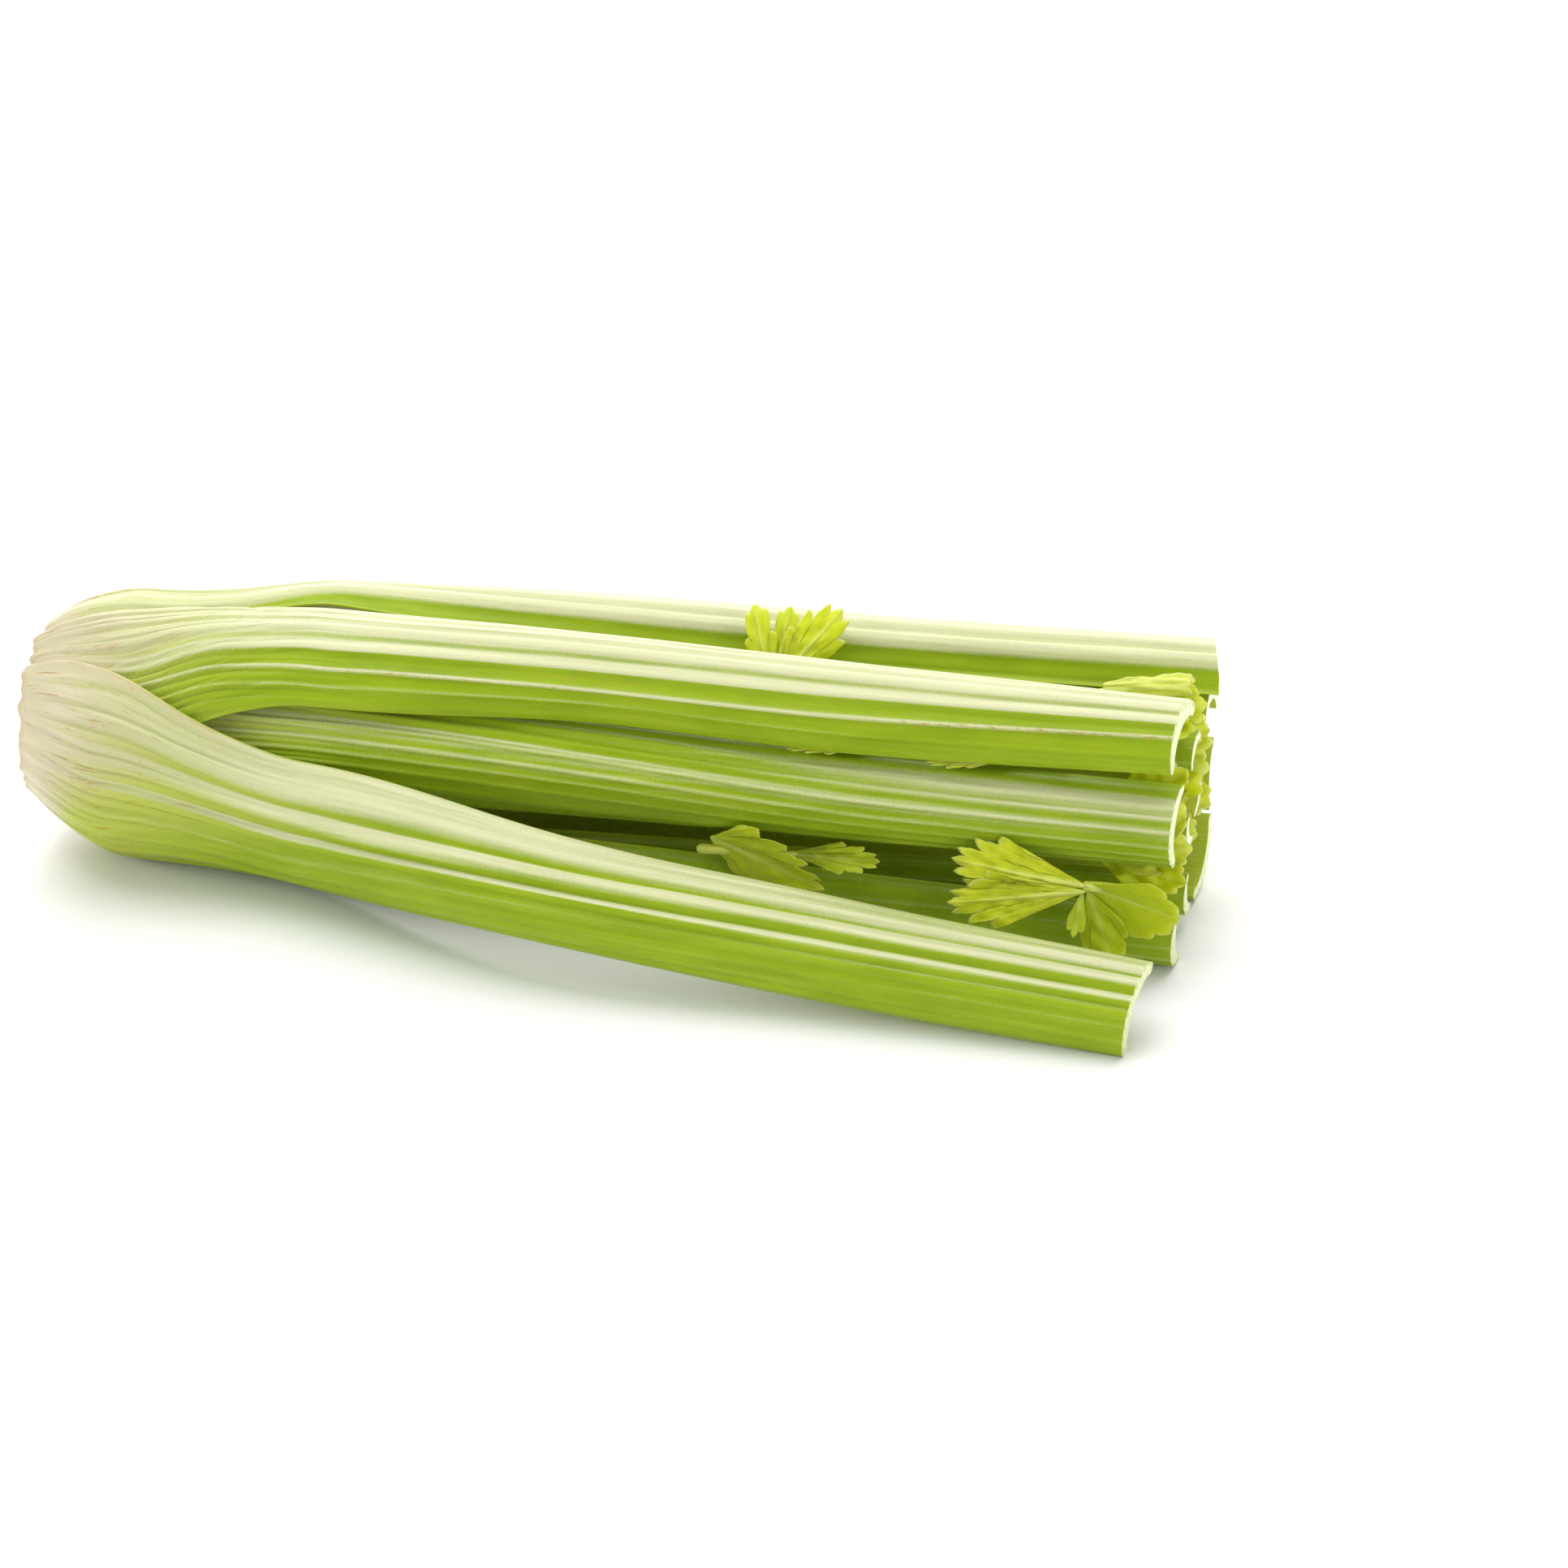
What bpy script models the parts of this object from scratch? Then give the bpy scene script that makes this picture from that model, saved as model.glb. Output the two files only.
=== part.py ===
"""A trimmed head of celery lying on its side: a root crown, the ribbed stalks that
wrap round it, cut square at the far end, and the leaf sprays left between them.
Run with: blender --background --python part.py"""

import math

import bmesh
import bpy
import numpy as np

MM = 0.001

# Driving dimensions of the head, in millimetres. x runs from the root cut to the cut tops,
# y away from the front stalk, z up from the surface that the head lies on.
LENGTH = 262.0
ROOT_RADIUS = 20.8
BULGE_RADIUS = 31.0
BULGE_X = 24.0
NECK_RADIUS = 29.5
NECK_X = 80.0
AXIS_Z = 29.8
GAP = 0.6
EXTRA_GAP = 1.7
ROOT_RISE = 1.6
CROWN_DEPTH = 7.0

# The stalks are wrapped layers up to WRAP_END and stand free of each other from FREE_START on.
WRAP_END = 24.0
FREE_START = 68.0
NARROW_START = 8.0
NARROW_END = 50.0
NARROWING = 0.3
KEY_X = (FREE_START, 120.0, 190.0, LENGTH)

RIB_HEIGHT = 0.7
ROOT_WALL = 2.2
EDGE_FADE = 24.0
RUN_OUT = 15.0

# Leaf blades: thickness, how much shorter the sides are than the tip, and how far the notches
# between teeth and between lobes cut in. Stems have few sides.
BLADE = 0.8
SIDE_LOSS = 0.35
TOOTH_NOTCH = 0.88
LOBE_NOTCH = 0.76
STEM_SIDES = 6

# From the head's own frame to one whose origin is under the middle of the whole head.
SHIFT = (-LENGTH / 2 - 1.5, 2.9, 0.0)


class Stalk:
    """One leaf stalk. wrap is the middle and half width, in degrees, of the arc that it covers
    round the base, and how far its middle turns on the way out of it. Each row of free is centre
    y, centre z, radius, facing and half width of its crescent section at the matching KEY_X.
    Facing is 0 towards the front and 90 upwards."""

    def __init__(self, name, wrap, free, wall, ribs, start=0.0, edge=3.0, wrap_wall=4.0, end=LENGTH):
        self.name = name
        self.middle, self.half, self.drift = wrap
        self.free = np.array(free, float)
        self.wall = wall
        self.ribs = ribs
        self.start = start
        self.edge = edge
        self.wrap_wall = wrap_wall
        self.end = end


INNER_START = CROWN_DEPTH + GAP

STALKS = [
    Stalk("stalk_front", (-23, 75, 8), [(-13, 21, 19.5, -10, 63), (-34, 19.5, 13.5, 14, 74),
          (-39, 12.2, 12, 34, 78), (-42, 6.4, 11, 45, 80)], 5.6, 8, end=LENGTH - 4),
    Stalk("stalk_top_front", (30, 48, 28), [(-1, 44.5, 17.5, 69, 54), (-1, 50.4, 12.5, 63, 72),
          (-3, 50.9, 11.8, 61, 76), (-5, 53, 9.8, 64, 80)], 5.6, 8, end=LENGTH - 1),
    Stalk("stalk_top_back", (146, 71, -8), [(16, 42, 19, 131, 53), (24, 46.6, 13.5, 118, 72),
          (30, 46.4, 12, 110, 78), (36, 46.4, 11, 105, 80)], 5.6, 8, end=LENGTH + 1.5),
    Stalk("stalk_back_low", (245, 50, -8), [(8, 19, 18, 238, 55), (16, 14, 13, 232, 68),
          (20, 12, 11.5, 228, 76), (24, 10.1, 10.5, 225, 80)], 5.2, 8, end=LENGTH + 1.5),
    Stalk("stalk_middle", (8, 62, 7), [(-7, 33.8, 13, 16, 60), (-8.5, 34.2, 11.5, 18, 72),
          (-9, 34.5, 10.3, 20, 78), (-8, 34.4, 9.6, 20, 80)], 5.2, 8, INNER_START, 2.6, 3.2,
          LENGTH - 1),
    Stalk("stalk_low_front", (-56, 50, -5), [(-6, 16.5, 9.5, -46, 58), (-8, 13, 9.5, -30, 70),
          (-8.5, 10, 8.5, -20, 74), (-7.5, 7.8, 8, -15, 75)], 4.6, 6, INNER_START, 2.4, 3.0),
    Stalk("stalk_top_inner", (100, 58, 0), [(7, 40, 11, 108, 62), (18, 40.5, 9.5, 108, 70),
          (26, 40.5, 9, 108, 74), (32, 41, 8.5, 108, 75)], 4.6, 6, INNER_START, 2.4, 3.0,
          LENGTH + 1),
    Stalk("stalk_back_inner", (196, 58, 0), [(12, 29, 11.5, 188, 62), (24, 28.5, 10.2, 186, 68),
          (31, 27.5, 9, 198, 72), (36, 24, 9, 196, 76)], 4.6, 6, INNER_START, 2.4, 3.0,
          LENGTH + 1),
    Stalk("stalk_low_inner", (-92, 37, 10.5), [(3.5, 14.8, 6.9, -82, 51), (4, 12, 7.2, -55, 66),
          (6, 10.2, 6.8, -35, 72), (9, 9.6, 6.2, -20, 74)], 3.8, 5, INNER_START, 2.2, 2.6),
    Stalk("heart_stalk_front", (30, 60, 10), [(0, 36, 7, 40, 62), (6, 38, 6.4, 50, 68),
          (10, 40, 5.8, 60, 70), (13, 41, 5.5, 60, 70)], 3.2, 4, INNER_START, 2.0, 2.2),
    Stalk("heart_stalk_back", (160, 60, 0), [(6, 29, 6.4, 180, 62), (12, 28, 6, 190, 68),
          (17, 27.5, 5.6, 200, 70), (20, 27, 5.4, 205, 70)], 3.2, 4, INNER_START, 2.0, 2.2),
    Stalk("heart_stalk_low", (-80, 60, 0), [(0, 24, 6, -60, 60), (3, 24, 5.6, -45, 68),
          (6, 25.5, 5.2, -35, 70), (8, 26, 5, -30, 70)], 3.0, 4, INNER_START, 2.0, 2.2),
]
OUTER = STALKS[:4]


def smooth(low, high, value):
    """0 below low, 1 above high, an even S between them."""
    t = np.clip((np.asarray(value, float) - low) / (high - low), 0, 1)
    return t * t * (3 - 2 * t)


def along(keys_x, rows, x):
    """The rows at keys_x joined by one smooth curve, read at x."""
    keys_x, rows = np.asarray(keys_x, float), np.asarray(rows, float)
    slopes = np.gradient(rows, keys_x, axis=0)
    i = int(np.clip(np.searchsorted(keys_x, x) - 1, 0, len(keys_x) - 2))
    width = keys_x[i + 1] - keys_x[i]
    t = (x - keys_x[i]) / width
    if t < 0:
        return rows[0] - slopes[0] * RUN_OUT * (1 - math.exp((x - keys_x[0]) / RUN_OUT))
    return (rows[i] * (2 * t**3 - 3 * t**2 + 1) + slopes[i] * width * (t**3 - 2 * t**2 + t)
            + rows[i + 1] * (3 * t**2 - 2 * t**3) + slopes[i + 1] * width * (t**3 - t**2))


def outer_radius(x):
    """The outside of the base: it swells from the root cut to the bulge, then draws in."""
    if x < BULGE_X:
        return ROOT_RADIUS + (BULGE_RADIUS - ROOT_RADIUS) * math.sin(math.pi / 2 * x / BULGE_X) ** 0.95
    return BULGE_RADIUS + (NECK_RADIUS - BULGE_RADIUS) * float(smooth(BULGE_X, NECK_X, x))


def base_centre(x):
    """The middle of the base, as y and z, a little higher towards the root cut."""
    return np.array([0, AXIS_Z + ROOT_RISE * (1 - float(smooth(0, BULGE_X, x)))])


def wall_at(stalk, s, x):
    """Wall thickness across the wrapped layer, thin at its edges and at the root."""
    middle = ROOT_WALL + (stalk.wrap_wall - ROOT_WALL) * float(smooth(0, WRAP_END, x))
    edge = 1.3 + 0.5 * float(smooth(0, WRAP_END, x))
    return middle - (middle - edge) * np.abs(s) ** 2.5


def wrap_at(stalk, x):
    """The middle and half width of the arc that a stalk covers, narrowing out of the base."""
    share = float(smooth(NARROW_START, NARROW_END, x))
    return stalk.middle + stalk.drift * share, stalk.half * (1 - NARROWING * share)


def cover(stalk, angle, x):
    """The depth that a stalk and its gap take from the layers inside it, at each angle."""
    middle, half = wrap_at(stalk, x)
    off = (angle - middle + 180) % 360 - 180
    beyond = np.abs(off) - half - 4
    fade = 1 - smooth(0, EDGE_FADE, beyond)
    gap = GAP + EXTRA_GAP * float(smooth(WRAP_END - 4, NARROW_END, x))
    return fade * (wall_at(stalk, np.clip(off / half, -1, 1), x) + gap)


def wrapped_radius(outside, angle, x):
    """The radius left at each angle by the stalks that lie outside this layer."""
    radius = np.full(np.shape(angle), outer_radius(x))
    for stalk in outside:
        radius = radius - cover(stalk, angle, x)
    return radius


def ring_numbers(ribs, rib_points, inner_points, horn_points):
    """Where a section's points lie: s across the stalk, depth into the wall, groove share and
    how far each horn point stands past the edge."""
    outer = []
    for rib in range(ribs):
        for point in range(rib_points):
            outer.append((rib + point / rib_points, 1.0 if point == 0 else 0.0))
    outer.append((ribs, 1.0))
    rows = [(2 * at / ribs - 1, 0.0, groove, 0.0) for at, groove in outer]
    for point in range(1, horn_points + 1):
        turn = math.pi * point / (horn_points + 1)
        rows.append((1.0, (1 - math.cos(turn)) / 2, 0.0, math.sin(turn) / 2))
    rows += [(s, 1.0, 0.0, 0.0) for s in np.linspace(1, -1, inner_points)]
    for point in range(horn_points, 0, -1):
        turn = math.pi * point / (horn_points + 1)
        rows.append((-1.0, (1 - math.cos(turn)) / 2, 0.0, math.sin(turn) / 2))
    return np.array(rows).T


def arc_points(centre, angle, radius, past, s):
    """Points at these radii and facings round a centre, moved on along the arc by past."""
    turn = np.radians(angle)
    outward = np.stack([-np.cos(turn), np.sin(turn)], -1)
    onward = np.stack([np.sin(turn), np.cos(turn)], -1)
    return centre + outward * radius[:, None] + onward * (past * np.sign(s))[:, None]


def section(stalk, outside, numbers, x):
    """The closed outline, as y and z, of a stalk's section at x."""
    s, depth, groove, past = numbers
    relief = RIB_HEIGHT * float(smooth(2, 40, x)) * groove
    middle, half = wrap_at(stalk, x)
    angle = middle + half * s
    wall = wall_at(stalk, s, x)
    radius = wrapped_radius(outside, angle, x) - wall * depth
    wrapped = arc_points(base_centre(x), angle, radius - 0.6 * relief, wall * past, s)
    cy, cz, free_radius, facing, half = along(KEY_X, stalk.free, x)
    wall = stalk.wall - (stalk.wall - stalk.edge) * s**2
    angle = facing + half * s
    free = arc_points(np.array([cy, cz]), angle, free_radius - wall * depth - relief, wall * past, s)
    share = float(smooth(WRAP_END, FREE_START, x))
    return wrapped * (1 - share) + free * share


def lean(stalk, points, x):
    """How far each point of a section stands along x, so that the cut is square to the stalk."""
    step = 4.0
    here = along(KEY_X, stalk.free, LENGTH)[:2]
    slope = (here - along(KEY_X, stalk.free, LENGTH - step)[:2]) / step
    return x - float(smooth(0.7 * LENGTH, LENGTH, x)) * ((points - here) @ slope)


def stations(stalk, count):
    """Places along x, closer together where the base bends and swells."""
    t = np.linspace(0, 1, count)
    return stalk.start + (stalk.end - stalk.start) * (0.2 * t + 0.8 * t**2)


def rings_of(stalk, count, rib_points=3, inner_points=13, horn_points=2):
    """The stalk's sections as rows of points in the head's own frame."""
    outside = STALKS[:STALKS.index(stalk)]
    numbers = ring_numbers(stalk.ribs, rib_points, inner_points, horn_points)
    rings = []
    for x in stations(stalk, count):
        points = section(stalk, outside, numbers, x)
        points[:, 1] = np.maximum(points[:, 1], 0)
        rings.append(np.column_stack([lean(stalk, points, x), points]))
    return rings


def material(name, colour, roughness):
    made = bpy.data.materials.new(name)
    made.use_nodes = True
    shader = made.node_tree.nodes["Principled BSDF"]
    shader.inputs["Base Color"].default_value = (*colour, 1)
    shader.inputs["Roughness"].default_value = roughness
    shader.inputs["Metallic"].default_value = 0
    return made


def object_of(name, bm, look, home):
    """A named object from a bmesh in the head's own frame, with its faces turned outwards."""
    bmesh.ops.recalc_face_normals(bm, faces=bm.faces)
    bmesh.ops.translate(bm, vec=SHIFT, verts=bm.verts)
    bmesh.ops.scale(bm, vec=(MM, MM, MM), verts=bm.verts)
    mesh = bpy.data.meshes.new(name)
    bm.to_mesh(mesh)
    bm.free()
    mesh.shade_smooth()
    mesh.set_sharp_from_angle(angle=math.radians(50))
    mesh.materials.append(look)
    made = bpy.data.objects.new(name, mesh)
    home.objects.link(made)
    return made


def loft(rings):
    """A closed solid through rings of equal count, capped at both ends."""
    bm = bmesh.new()
    rows = [[bm.verts.new(point) for point in ring] for ring in rings]
    for low, high in zip(rows, rows[1:]):
        for i in range(len(low)):
            j = (i + 1) % len(low)
            bm.faces.new((low[i], low[j], high[j], high[i]))
    bm.faces.new(rows[0][::-1])
    bm.faces.new(rows[-1])
    return bm


def root_crown(look, home):
    """The solid plate that the stalks grow from, filling the ring of outer stalks at the root."""
    angle = np.linspace(0, 360, 72, endpoint=False)
    rings = []
    for x in np.linspace(0, CROWN_DEPTH, 4):
        radius = wrapped_radius(OUTER, angle, x) - (0.6 if x == 0 else 0.0)
        points = arc_points(base_centre(x), angle, radius, 0 * angle, angle)
        rings.append(np.column_stack([np.full(len(angle), x), points]))
    object_of("root_crown", loft(rings), look, home)


def unit(vector):
    return vector / np.linalg.norm(vector)


def leaflet(base, tip, across, width, teeth, fan=40.0, fold=0.15, curl=0.1, ripple=0.03):
    """A toothed, lobed blade of even thickness, spread out like a fan from its base. across is
    the way that it spreads, width its half width, fan the angle of its outer rays, fold how far
    its halves tilt up from the midrib, curl how far it bends up and ripple how far it waves."""
    base, tip = np.array(base, float), np.array(tip, float)
    length = np.linalg.norm(tip - base)
    ahead = unit(tip - base)
    side = unit(np.array(across, float) - ahead * np.dot(across, ahead))
    up = np.cross(ahead, side)
    fan = math.radians(fan)
    spread = width / (length * (1 - SIDE_LOSS) * math.sin(fan))
    rays = [(0.0, TOOTH_NOTCH)]
    for tooth in range(teeth):
        notch = LOBE_NOTCH if tooth + 1 in (teeth // 3, teeth - teeth // 3) else TOOTH_NOTCH
        rays += [(tooth + 0.35, 0.97), (tooth + 0.7, 1.0), (tooth + 1.0, notch)]
    rows = []
    for at, share_of_reach in rays:
        turn = (2 * at / teeth - 1) * fan
        reach = length * (1 - SIDE_LOSS * (turn / fan) ** 2) * share_of_reach
        rows.append([(reach * share * math.cos(turn), reach * share * math.sin(turn) * spread,
                      ripple * length * share * math.sin(5 * turn)) for share in (0.55, 1.0)])
    bm = bmesh.new()
    faces = []
    for face_side in (1, -1):
        def vert(ahead_by, side_by, wave):
            height = fold * abs(side_by) + curl * ahead_by**2 / length + wave
            spot = base + ahead * ahead_by + side * side_by + up * (height + face_side * BLADE / 2)
            return bm.verts.new(spot)
        heel = vert(-0.03 * length, 0.0, 0.0)
        faces.append((heel, [[vert(*spot) for spot in row] for row in rows]))
    for heel, grid in faces:
        for low, high in zip(grid, grid[1:]):
            bm.faces.new((heel, low[0], high[0]))
            bm.faces.new((low[0], low[1], high[1]))
            bm.faces.new((low[0], high[1], high[0]))
    (heel_a, grid_a), (heel_b, grid_b) = faces
    edge_a = [heel_a, grid_a[0][0], *[row[1] for row in grid_a], grid_a[-1][0]]
    edge_b = [heel_b, grid_b[0][0], *[row[1] for row in grid_b], grid_b[-1][0]]
    for i, start in enumerate(edge_a):
        j = (i + 1) % len(edge_a)
        bm.faces.new((start, edge_a[j], edge_b[j], edge_b[i]))
    return bm


def rolled_leaf(start, end, radius):
    """A young leaf still rolled into an open tube, wider and toothed at its far end."""
    start, end = np.array(start, float), np.array(end, float)
    ahead = unit(end - start)
    side = unit(np.cross(ahead, (0, 0, 1)))
    up = np.cross(side, ahead)
    turns = np.radians(np.linspace(-200, 100, 15))
    tooth = np.where(np.arange(15) % 2, 1.2, 0.0)
    rings = []
    for share in (0.0, 0.12, 0.5, 0.85, 1.0):
        size = radius * (0.55 + 0.45 * math.sin(math.pi * min(share * 1.6, 1.0) / 2) + 0.15 * share)
        ring = [(size, turn, push) for turn, push in zip(turns, tooth)]
        ring += [(size - BLADE, turn, push) for turn, push in zip(turns[::-1], tooth[::-1])]
        rings.append([start + (end - start) * share + ahead * push * share**4
                      + reach * (math.cos(turn) * side + math.sin(turn) * up)
                      for reach, turn, push in ring])
    return loft(rings)


def stem(points, thick, thin):
    """A round leaf stem along a few points, tapering from thick to thin."""
    points = [np.array(point, float) for point in points]
    rings = []
    for i, point in enumerate(points):
        ahead = unit(points[min(i + 1, len(points) - 1)] - points[max(i - 1, 0)])
        side = unit(np.cross(ahead, (0, 0, 1)))
        up = np.cross(side, ahead)
        radius = thick + (thin - thick) * i / (len(points) - 1)
        turns = np.linspace(0, 2 * math.pi, STEM_SIDES, endpoint=False)
        rings.append([point + radius * (math.cos(t) * side + math.sin(t) * up) for t in turns])
    return loft(rings)


def fused(name, shapes, look, home):
    """One object from closed shapes that run into each other, joined by a Boolean union."""
    loose = bpy.data.collections.new(name + "_pieces")
    bpy.context.scene.collection.children.link(loose)
    pieces = [object_of(f"{name}_piece_{i}", bm, look, loose) for i, bm in enumerate(shapes)]
    first = pieces[0]
    loose.objects.unlink(first)
    home.objects.link(first)
    join = first.modifiers.new("join", "BOOLEAN")
    join.operation = "UNION"
    join.operand_type = "COLLECTION"
    join.collection = loose
    join.solver = "MANIFOLD"
    graph = bpy.context.evaluated_depsgraph_get()
    mesh = bpy.data.meshes.new_from_object(first.evaluated_get(graph))
    mesh.name = name
    made = bpy.data.objects.new(name, mesh)
    home.objects.link(made)
    for piece in pieces:
        bpy.data.objects.remove(piece)
    bpy.data.collections.remove(loose)


def leaf_sprays():
    """The leaves that show between the stalks: for each spray its stem and its blades."""
    return {
        "leaf_spray_top": [
            stem([(142, 9, 46.4), (156, 9.5, 46.8), (165, 10.5, 49), (168.5, 12, 52)], 1.3, 0.9),
            leaflet((167.5, 11, 50.5), (159.2, 20, 63.8), (1, 0, 0.3), 4.6, 4, 36, 0.1),
            leaflet((168, 11.5, 50.5), (168.2, 20.5, 65), (1, 0, 0), 2.8, 3, 28, 0.1),
            leaflet((168.5, 11.5, 50.5), (178, 21.5, 64.6), (1, 0, -0.5), 6.0, 6, 38, 0.1)],
        "leaf_spray_top_end": [
            stem([(222, 14, 47.8), (232, 16, 49.6), (242.5, 17, 53)], 1.3, 1.0),
            rolled_leaf((240.5, 17, 53.2), (259.5, 17, 56), 2.3)],
        "leaf_spray_front_middle": [
            stem([(148, -16, 20.6), (160, -17.4, 22.2), (170, -16.8, 21.6), (178.5, -16.4, 22.4)],
                 1.2, 0.8),
            leaflet((158, -17.4, 22.4), (185, -22, 18.4), (0, 1, 0.3), 7.2, 6, 40, 0.1),
            leaflet((176, -16.4, 22.2), (198.2, -19.5, 24.4), (0, 1, 0.6), 3.2, 4, 22, 0.15)],
        "leaf_spray_front_end": [
            stem([(254, -17.5, 21.5), (248.5, -18.8, 23), (242.5, -20.5, 24)], 1.5, 1.1),
            leaflet((244, -20.4, 24.3), (214.8, -23.6, 28.4), (0, 0.14, 1), 6.6, 6, 30, 0.12),
            leaflet((244, -21, 23.4), (214.3, -27, 18.2), (0, 0.3, 1), 6.8, 6, 28, 0.12),
            leaflet((242.5, -21, 23.4), (241.8, -24, 13.6), (1, 0, 0.1), 2.4, 3, 28, 0.15),
            leaflet((243.5, -20.8, 23.4), (250, -23, 8.2), (1, 0, 0.35), 5.4, 5, 30, 0.15),
            leaflet((243, -20.2, 23.8), (263.4, -20.6, 20), (0, -0.1, 1), 9.4, 5, 42, 0.1)],
        "leaf_spray_between": [
            stem([(236, -2.5, 46), (215, -3, 46.2), (192, -3.5, 46.2)], 1.1, 0.8),
            leaflet((228, -3.3, 46.1), (206, -12.2, 45.8), (0.4, 1, 0), 4.4, 5, 34, 0.0, 0.0, 0.01),
            leaflet((196, -3.7, 46.2), (175, -12.2, 45.9), (0.4, 1, 0), 4.4, 5, 34, 0.0, 0.0, 0.01)],
        "heart_leaf_top": [
            stem([(230, 19.5, 46.6), (238, 19.5, 47), (246, 19, 47.2)], 1.2, 0.9),
            leaflet((242, 18.8, 47), (264.5, 18, 49.8), (0, 0.9, 0.5), 3.8, 5, 32, -0.25, 0.0, 0.05)],
        "heart_leaf_front": [
            stem([(228, -3.5, 22.5), (238, -3.2, 23), (246, -3, 23.5)], 1.2, 0.9),
            leaflet((242, -3, 23.5), (264.5, -3, 24), (0, 0.2, 1), 4.6, 5, 32, 0.3, 0.0, 0.05)],
        "heart_leaf_low": [
            stem([(230, 16, 17.5), (238, 16.5, 17.5), (246, 17, 17.7)], 1.1, 0.9),
            leaflet((242, 16.5, 17.6), (264, 17.5, 18), (0, 0.4, 1), 3.8, 5, 32, 0.3, 0.0, 0.05)],
        "heart_leaf_back": [
            stem([(230, 28, 31), (238, 28.5, 31.2), (246, 29, 31.5)], 1.2, 0.9),
            leaflet((242, 28.7, 31.3), (265, 29.5, 32), (0, 0.2, 1), 4.4, 5, 32, 0.3, 0.0, 0.05)],
    }


def main():
    for old in list(bpy.data.objects):
        bpy.data.objects.remove(old)
    home = bpy.data.collections.new("head_of_celery")
    bpy.context.scene.collection.children.link(home)
    root_crown(material("root", (0.55, 0.36, 0.2), 0.8), home)
    for stalk in STALKS:
        look = material(stalk.name, (0.45, 0.62, 0.16), 0.35)
        heart = stalk.name.startswith("heart")
        shown = stalk in OUTER or stalk.name == "stalk_middle"
        count = 16 if shown else 10 if heart else 12
        rings = rings_of(stalk, count, inner_points=13 if shown else 7 if heart else 10)
        object_of(stalk.name, loft(rings), look, home)
    for name, shapes in leaf_sprays().items():
        fused(name, shapes, material(name, (0.5, 0.66, 0.1), 0.5), home)


main()
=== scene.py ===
"""Looks of a trimmed head of celery: ribbed stalks wrapped round a root crown and cut square at
the far end, the small leaves left between them, a pale floor, soft light and a camera."""

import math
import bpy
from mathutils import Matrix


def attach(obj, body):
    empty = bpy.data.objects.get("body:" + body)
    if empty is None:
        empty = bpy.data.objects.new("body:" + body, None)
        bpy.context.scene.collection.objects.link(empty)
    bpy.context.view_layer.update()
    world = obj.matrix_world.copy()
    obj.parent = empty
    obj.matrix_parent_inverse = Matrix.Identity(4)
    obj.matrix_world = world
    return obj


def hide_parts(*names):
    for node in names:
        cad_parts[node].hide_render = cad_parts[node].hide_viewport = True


bl_info = {
    "name": "Head of Celery",
    "version": (1, 0, 0),
    "blender": (4, 5, 0),
    "location": "3D View > Sidebar > Celery",
    "description": "Builds a trimmed head of celery round its packed frame",
    "category": "Add Mesh",
}

import bpy
import numpy as np
from bpy.props import FloatProperty, FloatVectorProperty, IntProperty, PointerProperty

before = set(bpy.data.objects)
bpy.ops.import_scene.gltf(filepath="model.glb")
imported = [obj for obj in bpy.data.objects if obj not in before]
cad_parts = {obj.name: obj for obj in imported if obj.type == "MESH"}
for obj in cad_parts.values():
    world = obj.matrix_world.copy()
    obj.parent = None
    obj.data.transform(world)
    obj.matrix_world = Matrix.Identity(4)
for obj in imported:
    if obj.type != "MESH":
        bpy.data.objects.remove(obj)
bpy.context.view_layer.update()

MM = 0.001

# The head in millimetres, with the same driving dimensions and the same frame as the part: x runs
# from the root cut to the cut tops, y away from the front stalk, z up from the surface below.
LENGTH = 262.0
# The wrapped base: its root cut, its bulge and its neck, and the rise of its middle to the root.
ROOT_RADIUS = 20.8
BULGE_RADIUS = 31.0
BULGE_X = 24.0
NECK_RADIUS = 29.5
NECK_X = 80.0
AXIS_Z = 29.8
ROOT_RISE = 1.6
CROWN_DEPTH = 7.0
# The layers of the base, and the gaps that open between them.
ROOT_WALL = 2.2
GAP = 0.6
EXTRA_GAP = 1.7
EDGE_FADE = 24.0
# Where the stalks leave the base and stand on their own.
WRAP_END = 24.0
FREE_START = 68.0
NARROW_START = 8.0
NARROW_END = 50.0
NARROWING = 0.3
KEY_X = (FREE_START, 120.0, 190.0, LENGTH)
RUN_OUT = 15.0
# Each cut end leans to the front by this share of its depth.
CUT_SLANT = 0.13
# The torn edge of the skin at the root.
TEAR_DEPTH = 0.45
TEAR_REACH = 7.0
# How much sooner the low side of a stalk turns green.
EARLY_GREEN = 45.0
# The pale bands, paler rib skin and painted highlight, change from those of the base to those of
# the top between these places.
BANDS_TURN = (110.0, 235.0)
EDGE_POINTS = 6
CUT_ROWS = 9
# The rim of a leaf between two teeth and between two lobes, as a share of its reach.
TOOTH_NOTCH = 0.925
LOBE_NOTCH = 0.86
TOOTH_RAYS = 16
# The head's frame in the world, and the point that the camera looks at.
SHIFT = np.array((-LENGTH / 2 - 1.5, 2.9, 0.0))
AIM = (np.array((172.0, 0.0, 30.5)) + SHIFT) * MM


class Rib:
    """One rib: half width and height in millimetres and its place across the stalk, from -1 at one
    edge to 1 at the other, at each RIB_X along it."""

    def __init__(self, width, height, *places):
        self.width, self.height, self.places = width, height, np.array(places)


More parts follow.
